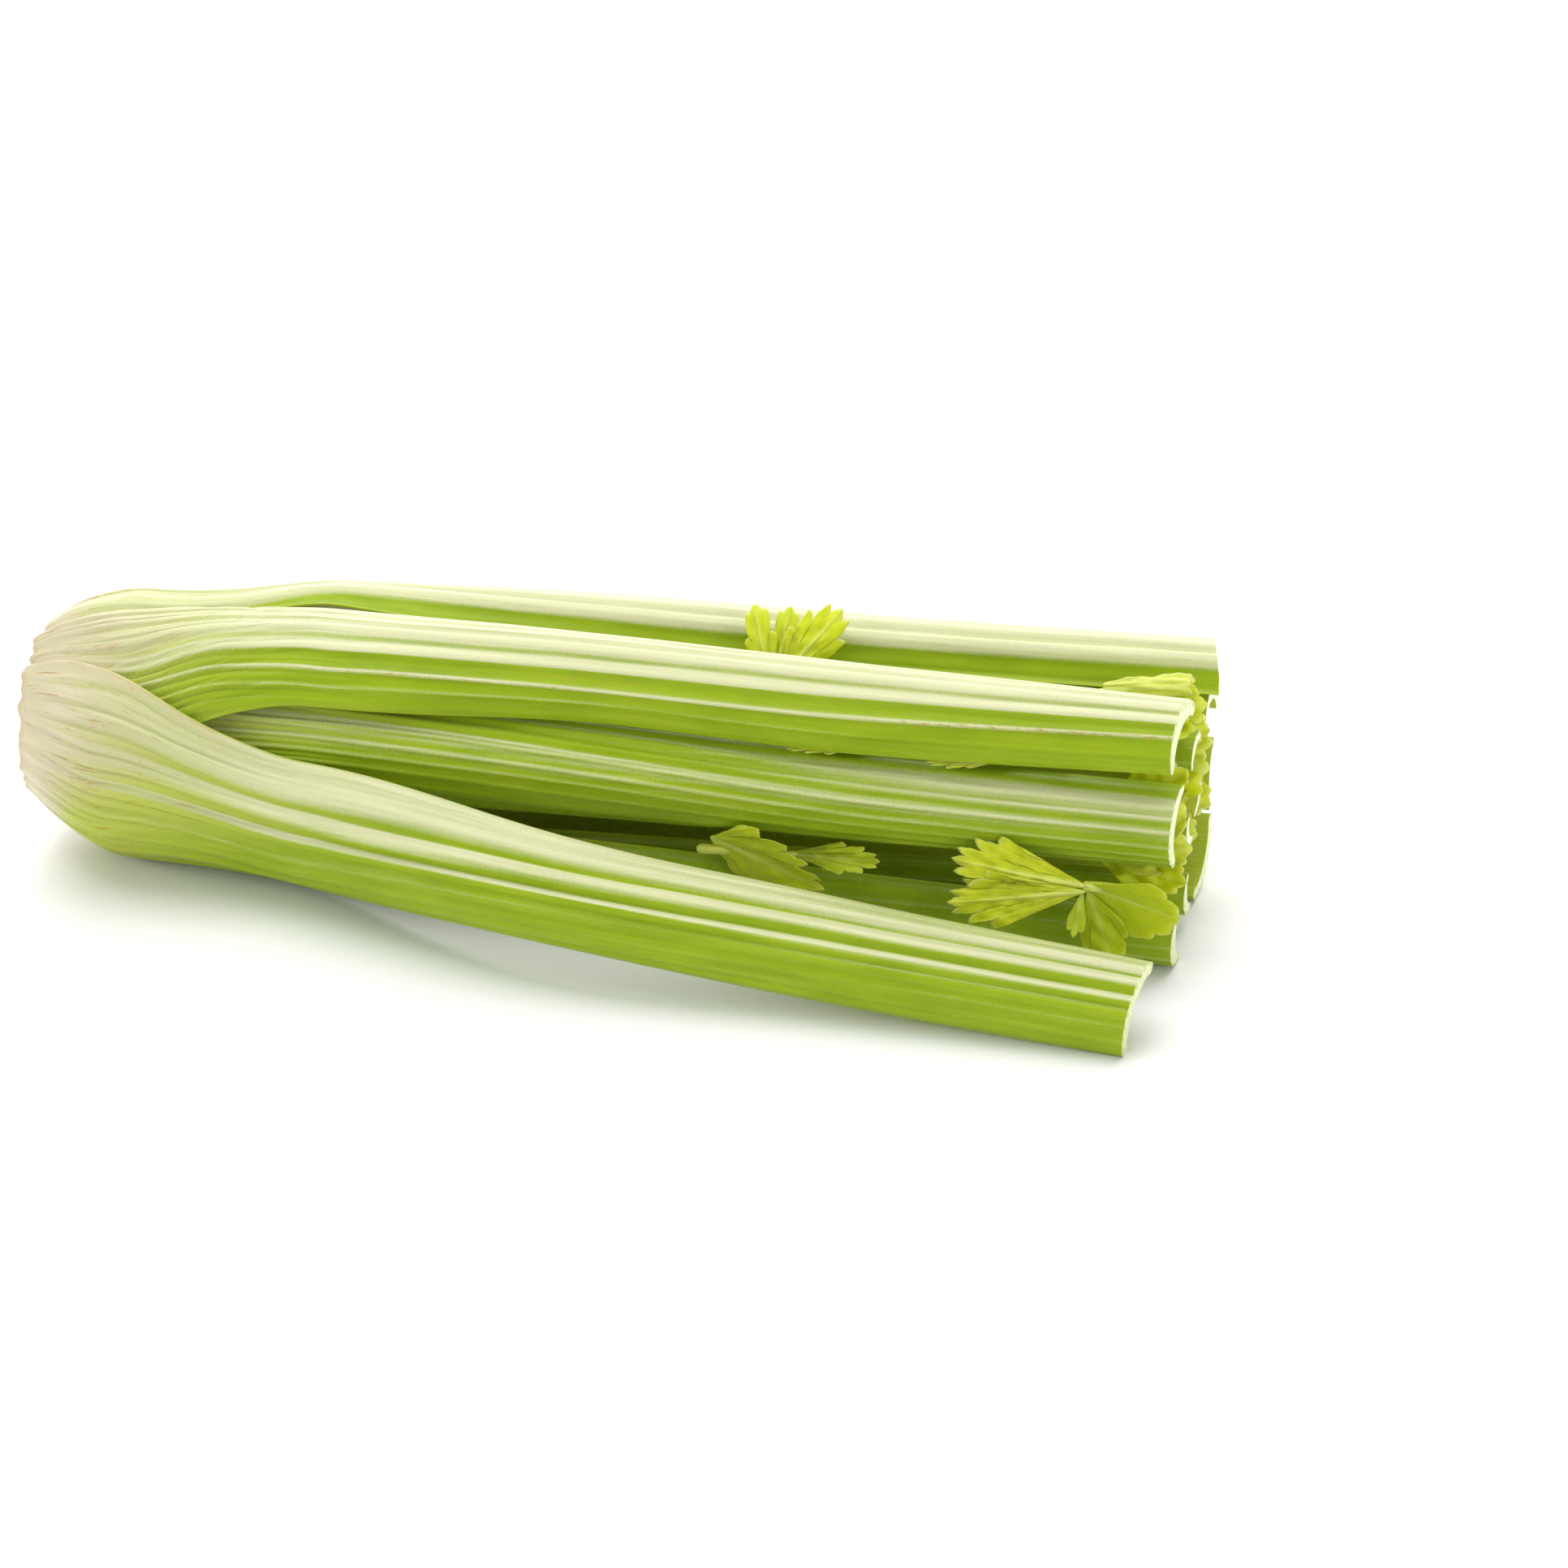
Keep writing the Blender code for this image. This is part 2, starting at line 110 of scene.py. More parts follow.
class Stalk:
    """One leaf stalk, as in the part, with its ribs from the lowest place across it to the highest.
    wrap is the middle, half width and drift of the arc that it covers in the base, in degrees. free
    holds, at each KEY_X, its section's middle as y and z, its radius, and its facing and half width
    in degrees. wall, edge and wrap_wall are thicknesses in its middle, at its edges and in the base.
    slant turns its cut end, and each scar is a place in ribs, a width, two places along and a
    strength."""

    def __init__(self, name, wrap, free, wall, ribs, bands, start=0.0, edge=3.0, wrap_wall=4.0,
                 end=LENGTH, slant=CUT_SLANT, scars=()):
        self.name, self.ribs, self.scars = name, ribs, scars
        self.middle, self.half, self.drift = wrap
        self.free, self.bands = np.array(free, float), np.array(bands)
        self.wall, self.edge, self.wrap_wall = wall, edge, wrap_wall
        self.start, self.end, self.slant = start, end, slant


RIB_X = (10.0, 40.0, 62.0, 85.0, 130.0, 190.0, 258.0)


def even_ribs(count, reach=0.86, width=0.9, height=0.4, twist=0.05):
    """Count like ribs spread evenly across a stalk, all wandering by twist on the way."""
    drift = np.linspace(twist, -twist, len(RIB_X))
    return [Rib(width, height, *(place + drift)) for place in np.linspace(-reach, reach, count)]


# Where the skin is pale across a stalk, counted in ribs from the first: the count, how pale the
# skin is there from 0 to 1 near the base, and how pale it is near the cut top. The pale is partly
# the paler skin of the ribs and partly a painted highlight on the rib flanks that face the light above.
EVEN_BANDS = [(n + at, pale, pale) for n in range(-1, 9)
              for at, pale in ((-0.35, 0.0), (0.0, 0.06), (0.1, 0.3), (0.22, 0.22), (0.35, 0.0))]

FRONT_RIBS = [
    Rib(1.8, 0.8, -0.50, -0.75, -0.86, -0.87, -0.87, -0.87, -0.88),
    Rib(2.0, 0.8, -0.20, -0.45, -0.56, -0.60, -0.61, -0.64, -0.66),
    Rib(2.0, 0.9, -0.02, -0.22, -0.31, -0.35, -0.38, -0.42, -0.46),
    Rib(1.5, 0.9, 0.14, -0.01, -0.08, -0.12, -0.16, -0.22, -0.24),
    Rib(1.5, 1.4, 0.31, 0.19, 0.15, 0.08, 0.03, -0.04, -0.06),
    Rib(2.3, 1.9, 0.45, 0.41, 0.39, 0.27, 0.26, 0.25, 0.23),
    Rib(3.2, 1.9, 0.69, 0.70, 0.70, 0.66, 0.66, 0.64, 0.62),
    Rib(3.0, 0.1, 0.95, 1.00, 1.04, 1.04, 1.02, 1.00, 0.97),
]
# Pale bands of the front stalk: paler rib skin and painted highlight.
FRONT_BANDS = [
    (0, 0, 0), (0.9, 0.02, 0.02), (1.15, 0.15, 0.2), (1.3, 0.03, 0.03), (2, 0.05, 0.08),
    (2.2, 0.18, 0.25), (2.4, 0.05, 0.05), (2.9, 0.1, 0.05), (3.1, 0.32, 0.15), (3.3, 0.08, 0.1),
    (3.42, 0.08, 0.55), (3.52, 0.05, 0.05), (3.95, 0.05, 0.1), (4.12, 0.15, 0.6), (4.2, 0.95, 0.95),
    (4.4, 0.9, 0.9), (4.46, 0.08, 0.15), (4.6, 0, 0), (4.8, 0.12, 0.1), (4.95, 0.3, 0.7),
    (5.15, 0.75, 0.95), (5.42, 1, 0.95), (5.48, 0.2, 0.3), (5.52, 0, 0.2), (5.62, 0.15, 0.75),
    (5.75, 0.5, 0.9), (5.88, 0.8, 0.8), (6, 0.9, 0.6), (6.5, 0.95, 0.65), (6.7, 0.8, 0.55),
    (7.2, 0.95, 0.7),
]
TOP_FRONT_RIBS = [
    Rib(1.2, 0.5, -0.10, -0.75, -0.97, -0.97, -0.97, -0.97, -0.97),
    Rib(0.6, 0.4, 0.15, -0.48, -0.78, -0.76, -0.74, -0.74, -0.74),
    Rib(0.6, 0.7, 0.35, -0.20, -0.52, -0.52, -0.55, -0.49, -0.40),
    Rib(1.7, 1.2, 0.48, 0.06, -0.20, -0.21, -0.22, -0.16, -0.13),
    Rib(2.2, 0.8, 0.68, 0.45, 0.22, 0.17, 0.16, 0.21, 0.23),
    Rib(1.3, 0.6, 0.85, 0.72, 0.42, 0.36, 0.37, 0.42, 0.44),
    Rib(1.6, 0.5, 1.00, 0.95, 0.68, 0.61, 0.62, 0.65, 0.67),
    Rib(1.6, 0.5, 1.20, 1.15, 0.92, 0.86, 0.87, 0.88, 0.89),
]
# Pale bands of the top front stalk: paler rib skin and painted highlight.
TOP_FRONT_BANDS = [
    (0, 0.05, 0.05), (0.9, 0.05, 0.05), (1.05, 0.45, 0.12), (1.2, 0.08, 0.05), (1.85, 0.03, 0.03),
    (1.95, 0.6, 0.6), (2.08, 0.85, 0.75), (2.2, 0.08, 0.05), (2.5, 0.1, 0.12), (2.84, 0, 0.02),
    (2.92, 0.9, 0.85), (3.15, 1, 0.95), (3.38, 0.95, 0.95), (3.48, 0.5, 0.55), (3.6, 0.38, 0.45),
    (3.7, 0.85, 0.85), (4.3, 1, 1), (4.72, 0.9, 0.9), (4.84, 0.6, 0.7), (4.95, 0.9, 0.9),
    (5.5, 0.95, 0.85), (5.62, 0.6, 0.55), (5.8, 0.9, 0.8), (7, 0.85, 0.8), (7.6, 0.5, 0.5),
]
TOP_BACK_RIBS = [
    Rib(1.2, 1.9, -1.40, -1.40, -1.40, -1.40, -1.40, -1.40, -1.40),
    Rib(3.2, 1.9, -0.66, -0.64, -0.60, -0.56, -0.57, -0.54, -0.48),
    Rib(1.6, 0.45, -0.52, -0.46, -0.38, -0.35, -0.30, -0.22, -0.17),
    Rib(1.4, 0.5, -0.30, -0.26, -0.18, -0.12, -0.04, 0.02, 0.05),
    Rib(1.2, 0.6, -0.10, -0.04, 0.04, 0.10, 0.17, 0.22, 0.24),
    Rib(1.2, 0.6, 0.12, 0.18, 0.27, 0.32, 0.39, 0.44, 0.45),
    Rib(1.2, 0.6, 0.38, 0.44, 0.52, 0.57, 0.62, 0.65, 0.66),
    Rib(1.2, 0.5, 0.70, 0.74, 0.80, 0.83, 0.86, 0.88, 0.88),
]
# Pale bands of the top back stalk: paler rib skin and painted highlight.
TOP_BACK_BANDS = [
    (0, 0, 0), (0.72, 0, 0), (0.8, 0.8, 0.75), (1, 1, 0.9), (1.3, 0.9, 0.85), (1.42, 0.65, 0.5),
    (1.52, 0.9, 0.85), (2, 0.9, 0.9), (2.4, 0.6, 0.6), (2.52, 0.85, 0.8), (3.3, 0.8, 0.8),
    (3.45, 0.5, 0.5), (3.6, 0.75, 0.75), (4.4, 0.55, 0.55), (4.5, 0.2, 0.2), (5, 0.6, 0.6),
    (5.4, 0.5, 0.5), (5.5, 0.1, 0.1), (6.1, 0.5, 0.5), (6.4, 0.1, 0.1), (7, 0.1, 0.1),
]
MIDDLE_RIBS = [
    Rib(0.7, 0.3, -0.30, -0.35, -0.40, -0.45, -0.62, -0.85, -0.93),
    Rib(0.7, 0.3, -0.10, -0.12, -0.16, -0.21, -0.36, -0.62, -0.74),
    Rib(0.6, 0.3, 0.08, 0.06, 0.03, -0.02, -0.14, -0.42, -0.55),
    Rib(0.6, 0.35, 0.30, 0.28, 0.25, 0.18, 0.03, -0.24, -0.36),
    Rib(0.8, 0.55, 0.55, 0.53, 0.50, 0.45, 0.27, 0.00, -0.07),
    Rib(0.9, 0.6, 0.85, 0.84, 0.80, 0.72, 0.50, 0.24, 0.16),
    Rib(1.0, 0.5, 1.10, 1.08, 1.02, 0.95, 0.75, 0.48, 0.38),
    Rib(1.4, 0.4, 1.30, 1.28, 1.24, 1.18, 1.00, 0.76, 0.66),
]
# Pale bands of the middle stalk: paler rib skin and painted highlight.
MIDDLE_BANDS = [
    (0, 0, 0.05), (0.9, 0.02, 0.05), (1.15, 0.28, 0.22), (1.3, 0.05, 0.05), (1.9, 0.12, 0.08),
    (2.1, 0.45, 0.25), (2.3, 0.12, 0.08), (2.9, 0.3, 0.12), (3.12, 0.62, 0.38), (3.3, 0.15, 0.12),
    (3.6, 0.28, 0.2), (3.75, 0.48, 0.42), (3.86, 0.2, 0.22), (4.1, 0.65, 0.9), (4.25, 0.35, 0.45),
    (4.42, 0.8, 0.3), (4.58, 0.15, 0.15), (4.9, 0.02, 0.35), (5.15, 0, 0.85), (5.35, 0, 0.35),
    (5.6, 0, 0.45), (5.95, 0, 0.8), (6.5, 0, 0.7), (6.8, 0, 0.2), (7.2, 0, 0.05),
]


INNER_START = CROWN_DEPTH + GAP

STALKS = [
    Stalk("stalk_front", (-23, 75, 8), [(-13, 21, 19.5, -10, 63), (-34, 19.5, 13.5, 14, 74),
          (-39, 12.2, 12, 34, 78), (-42, 6.4, 11, 45, 80)], 5.6,
          FRONT_RIBS, FRONT_BANDS, end=LENGTH - 4),
    Stalk("stalk_top_front", (30, 48, 28), [(-1, 44.5, 17.5, 69, 54), (-1, 50.4, 12.5, 63, 72),
          (-3, 50.9, 11.8, 61, 76), (-5, 53, 9.8, 64, 80)], 5.6,
          TOP_FRONT_RIBS, TOP_FRONT_BANDS, end=LENGTH - 1,
          scars=((1.98, 0.06, 60, 140, 0.8), (2.0, 0.10, 190, 275, 1.0), (2.5, 0.08, 112, 150, 0.9))),
    Stalk("stalk_top_back", (146, 71, -8), [(16, 42, 19, 131, 53), (24, 46.6, 13.5, 118, 72),
          (30, 46.4, 12, 110, 78), (36, 46.4, 11, 105, 80)], 5.6,
          TOP_BACK_RIBS, TOP_BACK_BANDS, end=LENGTH + 0.1, slant=-0.15),
    Stalk("stalk_back_low", (245, 50, -8), [(8, 19, 18, 238, 55), (16, 14, 13, 232, 68),
          (20, 12, 11.5, 228, 76), (24, 10.1, 10.5, 225, 80)], 5.2,
          even_ribs(8), EVEN_BANDS, end=LENGTH + 1.5),
    Stalk("stalk_middle", (8, 62, 7), [(-7, 33.8, 13, 16, 60), (-8.5, 34.2, 11.5, 18, 72),
          (-9, 34.5, 10.3, 20, 78), (-8, 34.4, 9.6, 20, 80)], 5.2,
          MIDDLE_RIBS, MIDDLE_BANDS, INNER_START, 2.6, 3.2, LENGTH - 1),
    Stalk("stalk_low_front", (-56, 50, -5), [(-6, 16.5, 9.5, -46, 58), (-8, 13, 9.5, -30, 70),
          (-8.5, 10, 8.5, -20, 74), (-7.5, 7.8, 8, -15, 75)], 4.6,
          even_ribs(6), EVEN_BANDS, INNER_START, 2.4, 3.0),
    Stalk("stalk_top_inner", (100, 58, 0), [(7, 40, 11, 108, 62), (18, 40.5, 9.5, 108, 70),
          (26, 40.5, 9, 108, 74), (32, 41, 8.5, 108, 75)], 4.6,
          even_ribs(6), EVEN_BANDS, INNER_START, 2.4, 3.0, LENGTH + 1),
    Stalk("stalk_back_inner", (196, 58, 0), [(12, 29, 11.5, 188, 62), (24, 28.5, 10.2, 186, 68),
          (31, 27.5, 9, 198, 72), (36, 24, 9, 196, 76)], 4.6,
          even_ribs(6), EVEN_BANDS, INNER_START, 2.4, 3.0, LENGTH + 0.2, -0.15),
    Stalk("stalk_low_inner", (-92, 37, 10.5), [(3.5, 14.8, 6.9, -82, 51), (4, 12, 7.2, -55, 66),
          (6, 10.2, 6.8, -35, 72), (9, 9.6, 6.2, -20, 74)], 3.8,
          even_ribs(5), EVEN_BANDS, INNER_START, 2.2, 2.6),
    Stalk("heart_stalk_front", (30, 60, 10), [(0, 36, 7, 40, 62), (6, 38, 6.4, 50, 68),
          (10, 40, 5.8, 60, 70), (13, 41, 5.5, 60, 70)], 3.2,
          even_ribs(4, 0.8, 0.7, 0.4), EVEN_BANDS, INNER_START, 2.0, 2.2),
    Stalk("heart_stalk_back", (160, 60, 0), [(6, 29, 6.4, 180, 62), (12, 28, 6, 190, 68),
          (17, 27.5, 5.6, 200, 70), (20, 27, 5.4, 205, 70)], 3.2,
          even_ribs(4, 0.8, 0.7, 0.4), EVEN_BANDS, INNER_START, 2.0, 2.2),
    Stalk("heart_stalk_low", (-80, 60, 0), [(0, 24, 6, -60, 60), (3, 24, 5.6, -45, 68),
          (6, 25.5, 5.2, -35, 70), (8, 26, 5, -30, 70)], 3.0,
          even_ribs(4, 0.8, 0.7, 0.4), EVEN_BANDS, INNER_START, 2.0, 2.2),
]
OUTER = STALKS[:4]
INNER = STALKS[4:9]
HEART = STALKS[9:]


def smooth(low, high, value):
    """0 below low, 1 above high, an even S between them."""
    t = np.clip((np.asarray(value, float) - low) / (high - low), 0, 1)
    return t * t * (3 - 2 * t)


def along(keys_x, rows, x):
    """The rows at keys_x joined by one smooth curve, read at x."""
    keys_x, rows = np.asarray(keys_x, float), np.asarray(rows, float)
    slopes = np.gradient(rows, keys_x, axis=0)
    i = int(np.clip(np.searchsorted(keys_x, x) - 1, 0, len(keys_x) - 2))
    width = keys_x[i + 1] - keys_x[i]
    t = (x - keys_x[i]) / width
    if t < 0:
        return rows[0] - slopes[0] * RUN_OUT * (1 - math.exp((x - keys_x[0]) / RUN_OUT))
    return (rows[i] * (2 * t**3 - 3 * t**2 + 1) + slopes[i] * width * (t**3 - 2 * t**2 + t)
            + rows[i + 1] * (3 * t**2 - 2 * t**3) + slopes[i + 1] * width * (t**3 - t**2))


def outer_radius(x):
    """The outside of the base: it swells from the root cut to the bulge, then draws in."""
    if x < BULGE_X:
        return ROOT_RADIUS + (BULGE_RADIUS - ROOT_RADIUS) * math.sin(math.pi / 2 * x / BULGE_X) ** 0.95
    return BULGE_RADIUS + (NECK_RADIUS - BULGE_RADIUS) * float(smooth(BULGE_X, NECK_X, x))


def base_centre(x):
    """The middle of the base, as y and z, a little higher towards the root cut."""
    return np.array([0, AXIS_Z + ROOT_RISE * (1 - float(smooth(0, BULGE_X, x)))])


def wall_at(stalk, s, x):
    """Wall thickness across the wrapped layer, thin at its edges and at the root."""
    middle = ROOT_WALL + (stalk.wrap_wall - ROOT_WALL) * float(smooth(0, WRAP_END, x))
    edge = 1.3 + 0.5 * float(smooth(0, WRAP_END, x))
    return middle - (middle - edge) * np.abs(s) ** 2.5


def wrap_at(stalk, x):
    """The middle and half width of the arc that a stalk covers, narrowing out of the base."""
    share = float(smooth(NARROW_START, NARROW_END, x))
    return stalk.middle + stalk.drift * share, stalk.half * (1 - NARROWING * share)


def cover(stalk, angle, x):
    """The depth that a stalk and its gap take from the layers inside it, at each angle."""
    middle, half = wrap_at(stalk, x)
    off = (angle - middle + 180) % 360 - 180
    beyond = np.abs(off) - half - 4
    fade = 1 - smooth(0, EDGE_FADE, beyond)
    gap = GAP + EXTRA_GAP * float(smooth(WRAP_END - 4, NARROW_END, x))
    return fade * (wall_at(stalk, np.clip(off / half, -1, 1), x) + gap)


def wrapped_radius(outside, angle, x):
    """The radius left at each angle by the stalks that lie outside this layer."""
    radius = np.full(np.shape(angle), outer_radius(x))
    for stalk in outside:
        radius = radius - cover(stalk, angle, x)
    return radius


def outward_at(angle):
    """The direction, as y and z, that each facing looks in."""
    turn = np.radians(angle)
    return np.stack([-np.cos(turn), np.sin(turn)], -1)


def onward_at(angle):
    """The direction, as y and z, that leads on round the arc at each facing."""
    turn = np.radians(angle)
    return np.stack([np.sin(turn), np.cos(turn)], -1)


def edge_columns(columns):
    """The columns across a section: s, depth of the outer and the inner face into the wall, and
    how far each column stands past the edge, the last column at each side being its tip."""
    turn = np.linspace(0, math.pi / 2, EDGE_POINTS + 1)[1:]
    depth, past = (1 - np.cos(turn)) / 2, np.sin(turn) / 2
    middle = np.linspace(-1, 1, columns)
    s = np.concatenate([np.full(EDGE_POINTS, -1.0), middle, np.full(EDGE_POINTS, 1.0)])
    depth = np.concatenate([depth[::-1], np.zeros(columns), depth])
    past = np.concatenate([-past[::-1], np.zeros(columns), past])
    return s, depth, past


def section(stalk, outside, columns, x):
    """The outer and inner outline and the outward direction of a stalk's section at x."""
    s, depth, past = columns
    middle, half = wrap_at(stalk, x)
    angle = middle + half * s
    wall = wall_at(stalk, s, x)
    radius = wrapped_radius(outside, angle, x)
    out, on = outward_at(angle), onward_at(angle)
    wrapped = [base_centre(x) + out * (radius - wall * share)[:, None] + on * (wall * past)[:, None]
               for share in (depth, 1 - depth)]
    cy, cz, free_radius, facing, half = along(KEY_X, stalk.free, x)
    wall = stalk.wall - (stalk.wall - stalk.edge) * s**2
    angle = facing + half * s
    free_out, on = outward_at(angle), onward_at(angle)
    free = [np.array([cy, cz]) + free_out * (free_radius - wall * share)[:, None]
            + on * (wall * past)[:, None] for share in (depth, 1 - depth)]
    share = float(smooth(WRAP_END, FREE_START, x))
    rows = [one * (1 - share) + two * share for one, two in zip(wrapped, free)]
    out = out * (1 - share) + free_out * share
    return rows[0], rows[1], out / np.linalg.norm(out, axis=1, keepdims=True)


def lean(stalk, points, x):
    """How far each point of a section stands along x, so that the cut is square to the stalk and
    turned a little to the front."""
    step = 4.0
    here = along(KEY_X, stalk.free, LENGTH)[:2]
    slope = (here - along(KEY_X, stalk.free, LENGTH - step)[:2]) / step
    tilt = stalk.slant * (points[:, 0].mean() + 1 - points[:, 0])
    return x - float(smooth(0.7 * LENGTH, LENGTH, x)) * ((points - here) @ slope + tilt)


class CelerySkin(bpy.types.PropertyGroup):
    """Sizes and colours of the stalks."""
    rib_height: FloatProperty(name="Rib Height", description="Share of each rib's own height",
                              default=1.0, subtype="FACTOR")
    rib_width: FloatProperty(name="Rib Width", description="Share of each rib's own width",
                             default=1.0, subtype="FACTOR")
    seam_depth: FloatProperty(name="Seam Depth", description="Depth of the narrow seams at the root",
                              default=0.8 * MM, unit="LENGTH")
    fine_height: FloatProperty(name="Fine Line Height", description="Height of the lines between ribs",
                               default=0.05 * MM, unit="LENGTH")
    swell_height: FloatProperty(name="Swell Height", description="Slow unevenness along the stalks",
                                default=0.35 * MM, unit="LENGTH")
    seed: IntProperty(name="Seed", description="Seed of the uneven growth", default=7)
    base_colour: FloatVectorProperty(name="Base Colour", description="Skin at the root end",
                                     subtype="COLOR", size=3, default=(0.63, 0.57, 0.37))
    pale_colour: FloatVectorProperty(name="Pale Green", description="Skin just above the base",
                                     subtype="COLOR", size=3, default=(0.49, 0.55, 0.10))
    green_colour: FloatVectorProperty(name="Green", description="Skin of the upper stalks",
                                      subtype="COLOR", size=3, default=(0.32, 0.437, 0.016))
    groove_colour: FloatVectorProperty(name="Valley Green", description="Skin between the ribs",
                                       subtype="COLOR", size=3, default=(0.26, 0.378, 0.010))
    # Pale colour of the rib tops, also used for the painted highlight on the upper flanks of the ribs.
    rib_and_highlight_colour: FloatVectorProperty(name="Rib Colour", description="Tops of the ribs",
                                    subtype="COLOR", size=3, default=(0.60, 0.615, 0.34))
    inner_colour: FloatVectorProperty(name="Inner Colour", description="Hollow side of the stalks",
                                      subtype="COLOR", size=3, default=(0.42, 0.51, 0.012))
    scar_colour: FloatVectorProperty(name="Scar Colour", description="Brown streaks and specks",
                                     subtype="COLOR", size=3, default=(0.46, 0.24, 0.06))
    flesh_colour: FloatVectorProperty(name="Flesh Colour", description="Freshly cut ends",
                                      subtype="COLOR", size=3, default=(0.64, 0.69, 0.34))
    root_colour: FloatVectorProperty(name="Root Colour", description="Dry cut face of the root",
                                     subtype="COLOR", size=3, default=(0.42, 0.24, 0.10))


class CeleryLeaf(bpy.types.PropertyGroup):
    """Sizes and colours of the leaves."""
    thickness: FloatProperty(name="Thickness", description="Thickness of a blade in its middle",
                             default=0.5 * MM, unit="LENGTH")
    quilting: FloatProperty(name="Quilting", description="How far the blade rises between its veins",
                            default=0.06 * MM, unit="LENGTH")
    blade_colour: FloatVectorProperty(name="Blade Colour", description="Leaf between its veins",
                                      subtype="COLOR", size=3, default=(0.58, 0.66, 0.012))
    # Greener cloudy patches of the leaf, also the painted shade of blades that lie in shadow.
    patch_and_shade_colour: FloatVectorProperty(name="Deep Colour", description="Greener patches of the leaf",
                                     subtype="COLOR", size=3, default=(0.31, 0.40, 0.0))
    vein_colour: FloatVectorProperty(name="Vein Colour", description="Veins and rims",
                                     subtype="COLOR", size=3, default=(0.66, 0.70, 0.20))


class CeleryStage(bpy.types.PropertyGroup):
    """Camera and light."""
    azimuth: FloatProperty(name="Azimuth", description="Camera direction round the head",
                           default=math.radians(12), subtype="ANGLE")
    elevation: FloatProperty(name="Elevation", description="Camera height over the floor",
                             default=math.radians(28), subtype="ANGLE")
    distance: FloatProperty(name="Distance", description="Camera distance", default=1.1, unit="LENGTH")
    framed_width: FloatProperty(name="Framed Width", description="Width seen at the aimed point",
                                default=0.3481, unit="LENGTH")
    light_power: FloatProperty(name="Light Power", description="Power of the overhead light in watts",
                               default=20.0)
    back_power: FloatProperty(name="Back Power", description="Power of the light behind in watts",
                              default=25.5)
    side_power: FloatProperty(name="Side Power", description="Power of each side light in watts",
                              default=10.0)
    sky: FloatProperty(name="Sky", description="Strength of the white surroundings", default=0.35)


class Nodes:
    """Adds nodes to one tree and joins them. A value is a number, a colour, a vector or a socket."""

    def __init__(self, tree):
        self.tree = tree

    def put(self, socket, value):
        if isinstance(value, bpy.types.NodeSocket):
            self.tree.links.new(value, socket)
        elif isinstance(value, (tuple, list)) and len(value) == 3 and socket.type == "RGBA":
            socket.default_value = (*value, 1)
        else:
            socket.default_value = value

    def add(self, kind, values=(), **settings):
        node = self.tree.nodes.new(kind)
        for name, value in settings.items():
            setattr(node, name, value)
        for name, value in dict(values).items():
            self.put(node.inputs[name], value)
        return node

    def math(self, operation, *values):
        return self.add("ShaderNodeMath", dict(enumerate(values)), operation=operation).outputs[0]

    def plus(self, one, two):
        return self.math("ADD", one, two)

    def less(self, one, two):
        return self.math("SUBTRACT", one, two)

    def times(self, one, two):
        return self.math("MULTIPLY", one, two)

    def times_plus(self, one, two, three):
        return self.math("MULTIPLY_ADD", one, two, three)

    def most(self, one, two):
        return self.math("MAXIMUM", one, two)

    def span(self, value, low, high, to_low=0.0, to_high=1.0, smoothly=False):
        """value moved from low..high to to_low..to_high, and held there."""
        node = self.add("ShaderNodeMapRange", {"Value": value, "From Min": low, "From Max": high,
                        "To Min": to_low, "To Max": to_high},
                        interpolation_type="SMOOTHSTEP" if smoothly else "LINEAR")
        return node.outputs["Result"]

    def mix(self, share, one, two, blend="MIX"):
        node = self.add("ShaderNodeMix", data_type="RGBA", blend_type=blend)
        self.put(node.inputs[0], share)
        self.put(node.inputs[6], one)
        self.put(node.inputs[7], two)
        return node.outputs[2]

    def vector(self, x, y, z=0.0):
        return self.add("ShaderNodeCombineXYZ", {"X": x, "Y": y, "Z": z}).outputs[0]

    def stretched(self, across, length, by_across, by_length, seed=0.0):
        """Coordinates for a texture that is drawn out along a stalk."""
        return self.vector(self.times(across, by_across), self.times(length, by_length), seed)

    def shaded(self, colour, factor):
        """The colour made lighter or darker by a factor that changes over the surface."""
        return self.mix(1.0, colour, self.vector(factor, factor, factor), "MULTIPLY")

    def bump(self, shader, height, strength, distance):
        """Fine relief on a shader's normal, up to this distance in metres."""
        made = self.add("ShaderNodeBump", {"Strength": strength, "Distance": distance,
                                           "Height": height})
        self.put(shader["Normal"], made.outputs[0])

    def noise(self, vector, scale=1.0, detail=2.0, roughness=0.5, distortion=0.0):
        node = self.add("ShaderNodeTexNoise", {"Vector": vector, "Scale": scale, "Detail": detail,
                        "Roughness": roughness, "Distortion": distortion})
        return node.outputs[0]

    def attribute(self, name):
        return self.add("ShaderNodeAttribute", attribute_name=name).outputs["Fac"]

    def group(self, tree, values=()):
        node = self.add("ShaderNodeGroup", node_tree=tree)
        for name, value in dict(values).items():
            self.put(node.inputs[name], value)
        return node.outputs


def group_tree(name, inputs, outputs, kind="ShaderNodeTree"):
    """A new node group with these sockets, as its Nodes, its group input and its group output."""
    tree = bpy.data.node_groups.new(name, kind)
    for socket, sort, default in inputs:
        made = tree.interface.new_socket(socket, in_out="INPUT", socket_type="NodeSocket" + sort)
        if default is not None:
            made.default_value = default
    for socket, sort in outputs:
        tree.interface.new_socket(socket, in_out="OUTPUT", socket_type="NodeSocket" + sort)
    nodes = Nodes(tree)
    return nodes, nodes.add("NodeGroupInput").outputs, nodes.add("NodeGroupOutput").inputs


def new_material(name, roughness, **constants):
    """A material with a Principled shader, as its Nodes and the shader's inputs."""
    made = bpy.data.materials.new(name)
    made.use_nodes = True
    nodes = Nodes(made.node_tree)
    shader = made.node_tree.nodes["Principled BSDF"]
    shader.inputs["Roughness"].default_value = roughness
    for socket, value in constants.items():
        shader.inputs[socket.replace("_", " ")].default_value = value
    return made, nodes, shader.inputs


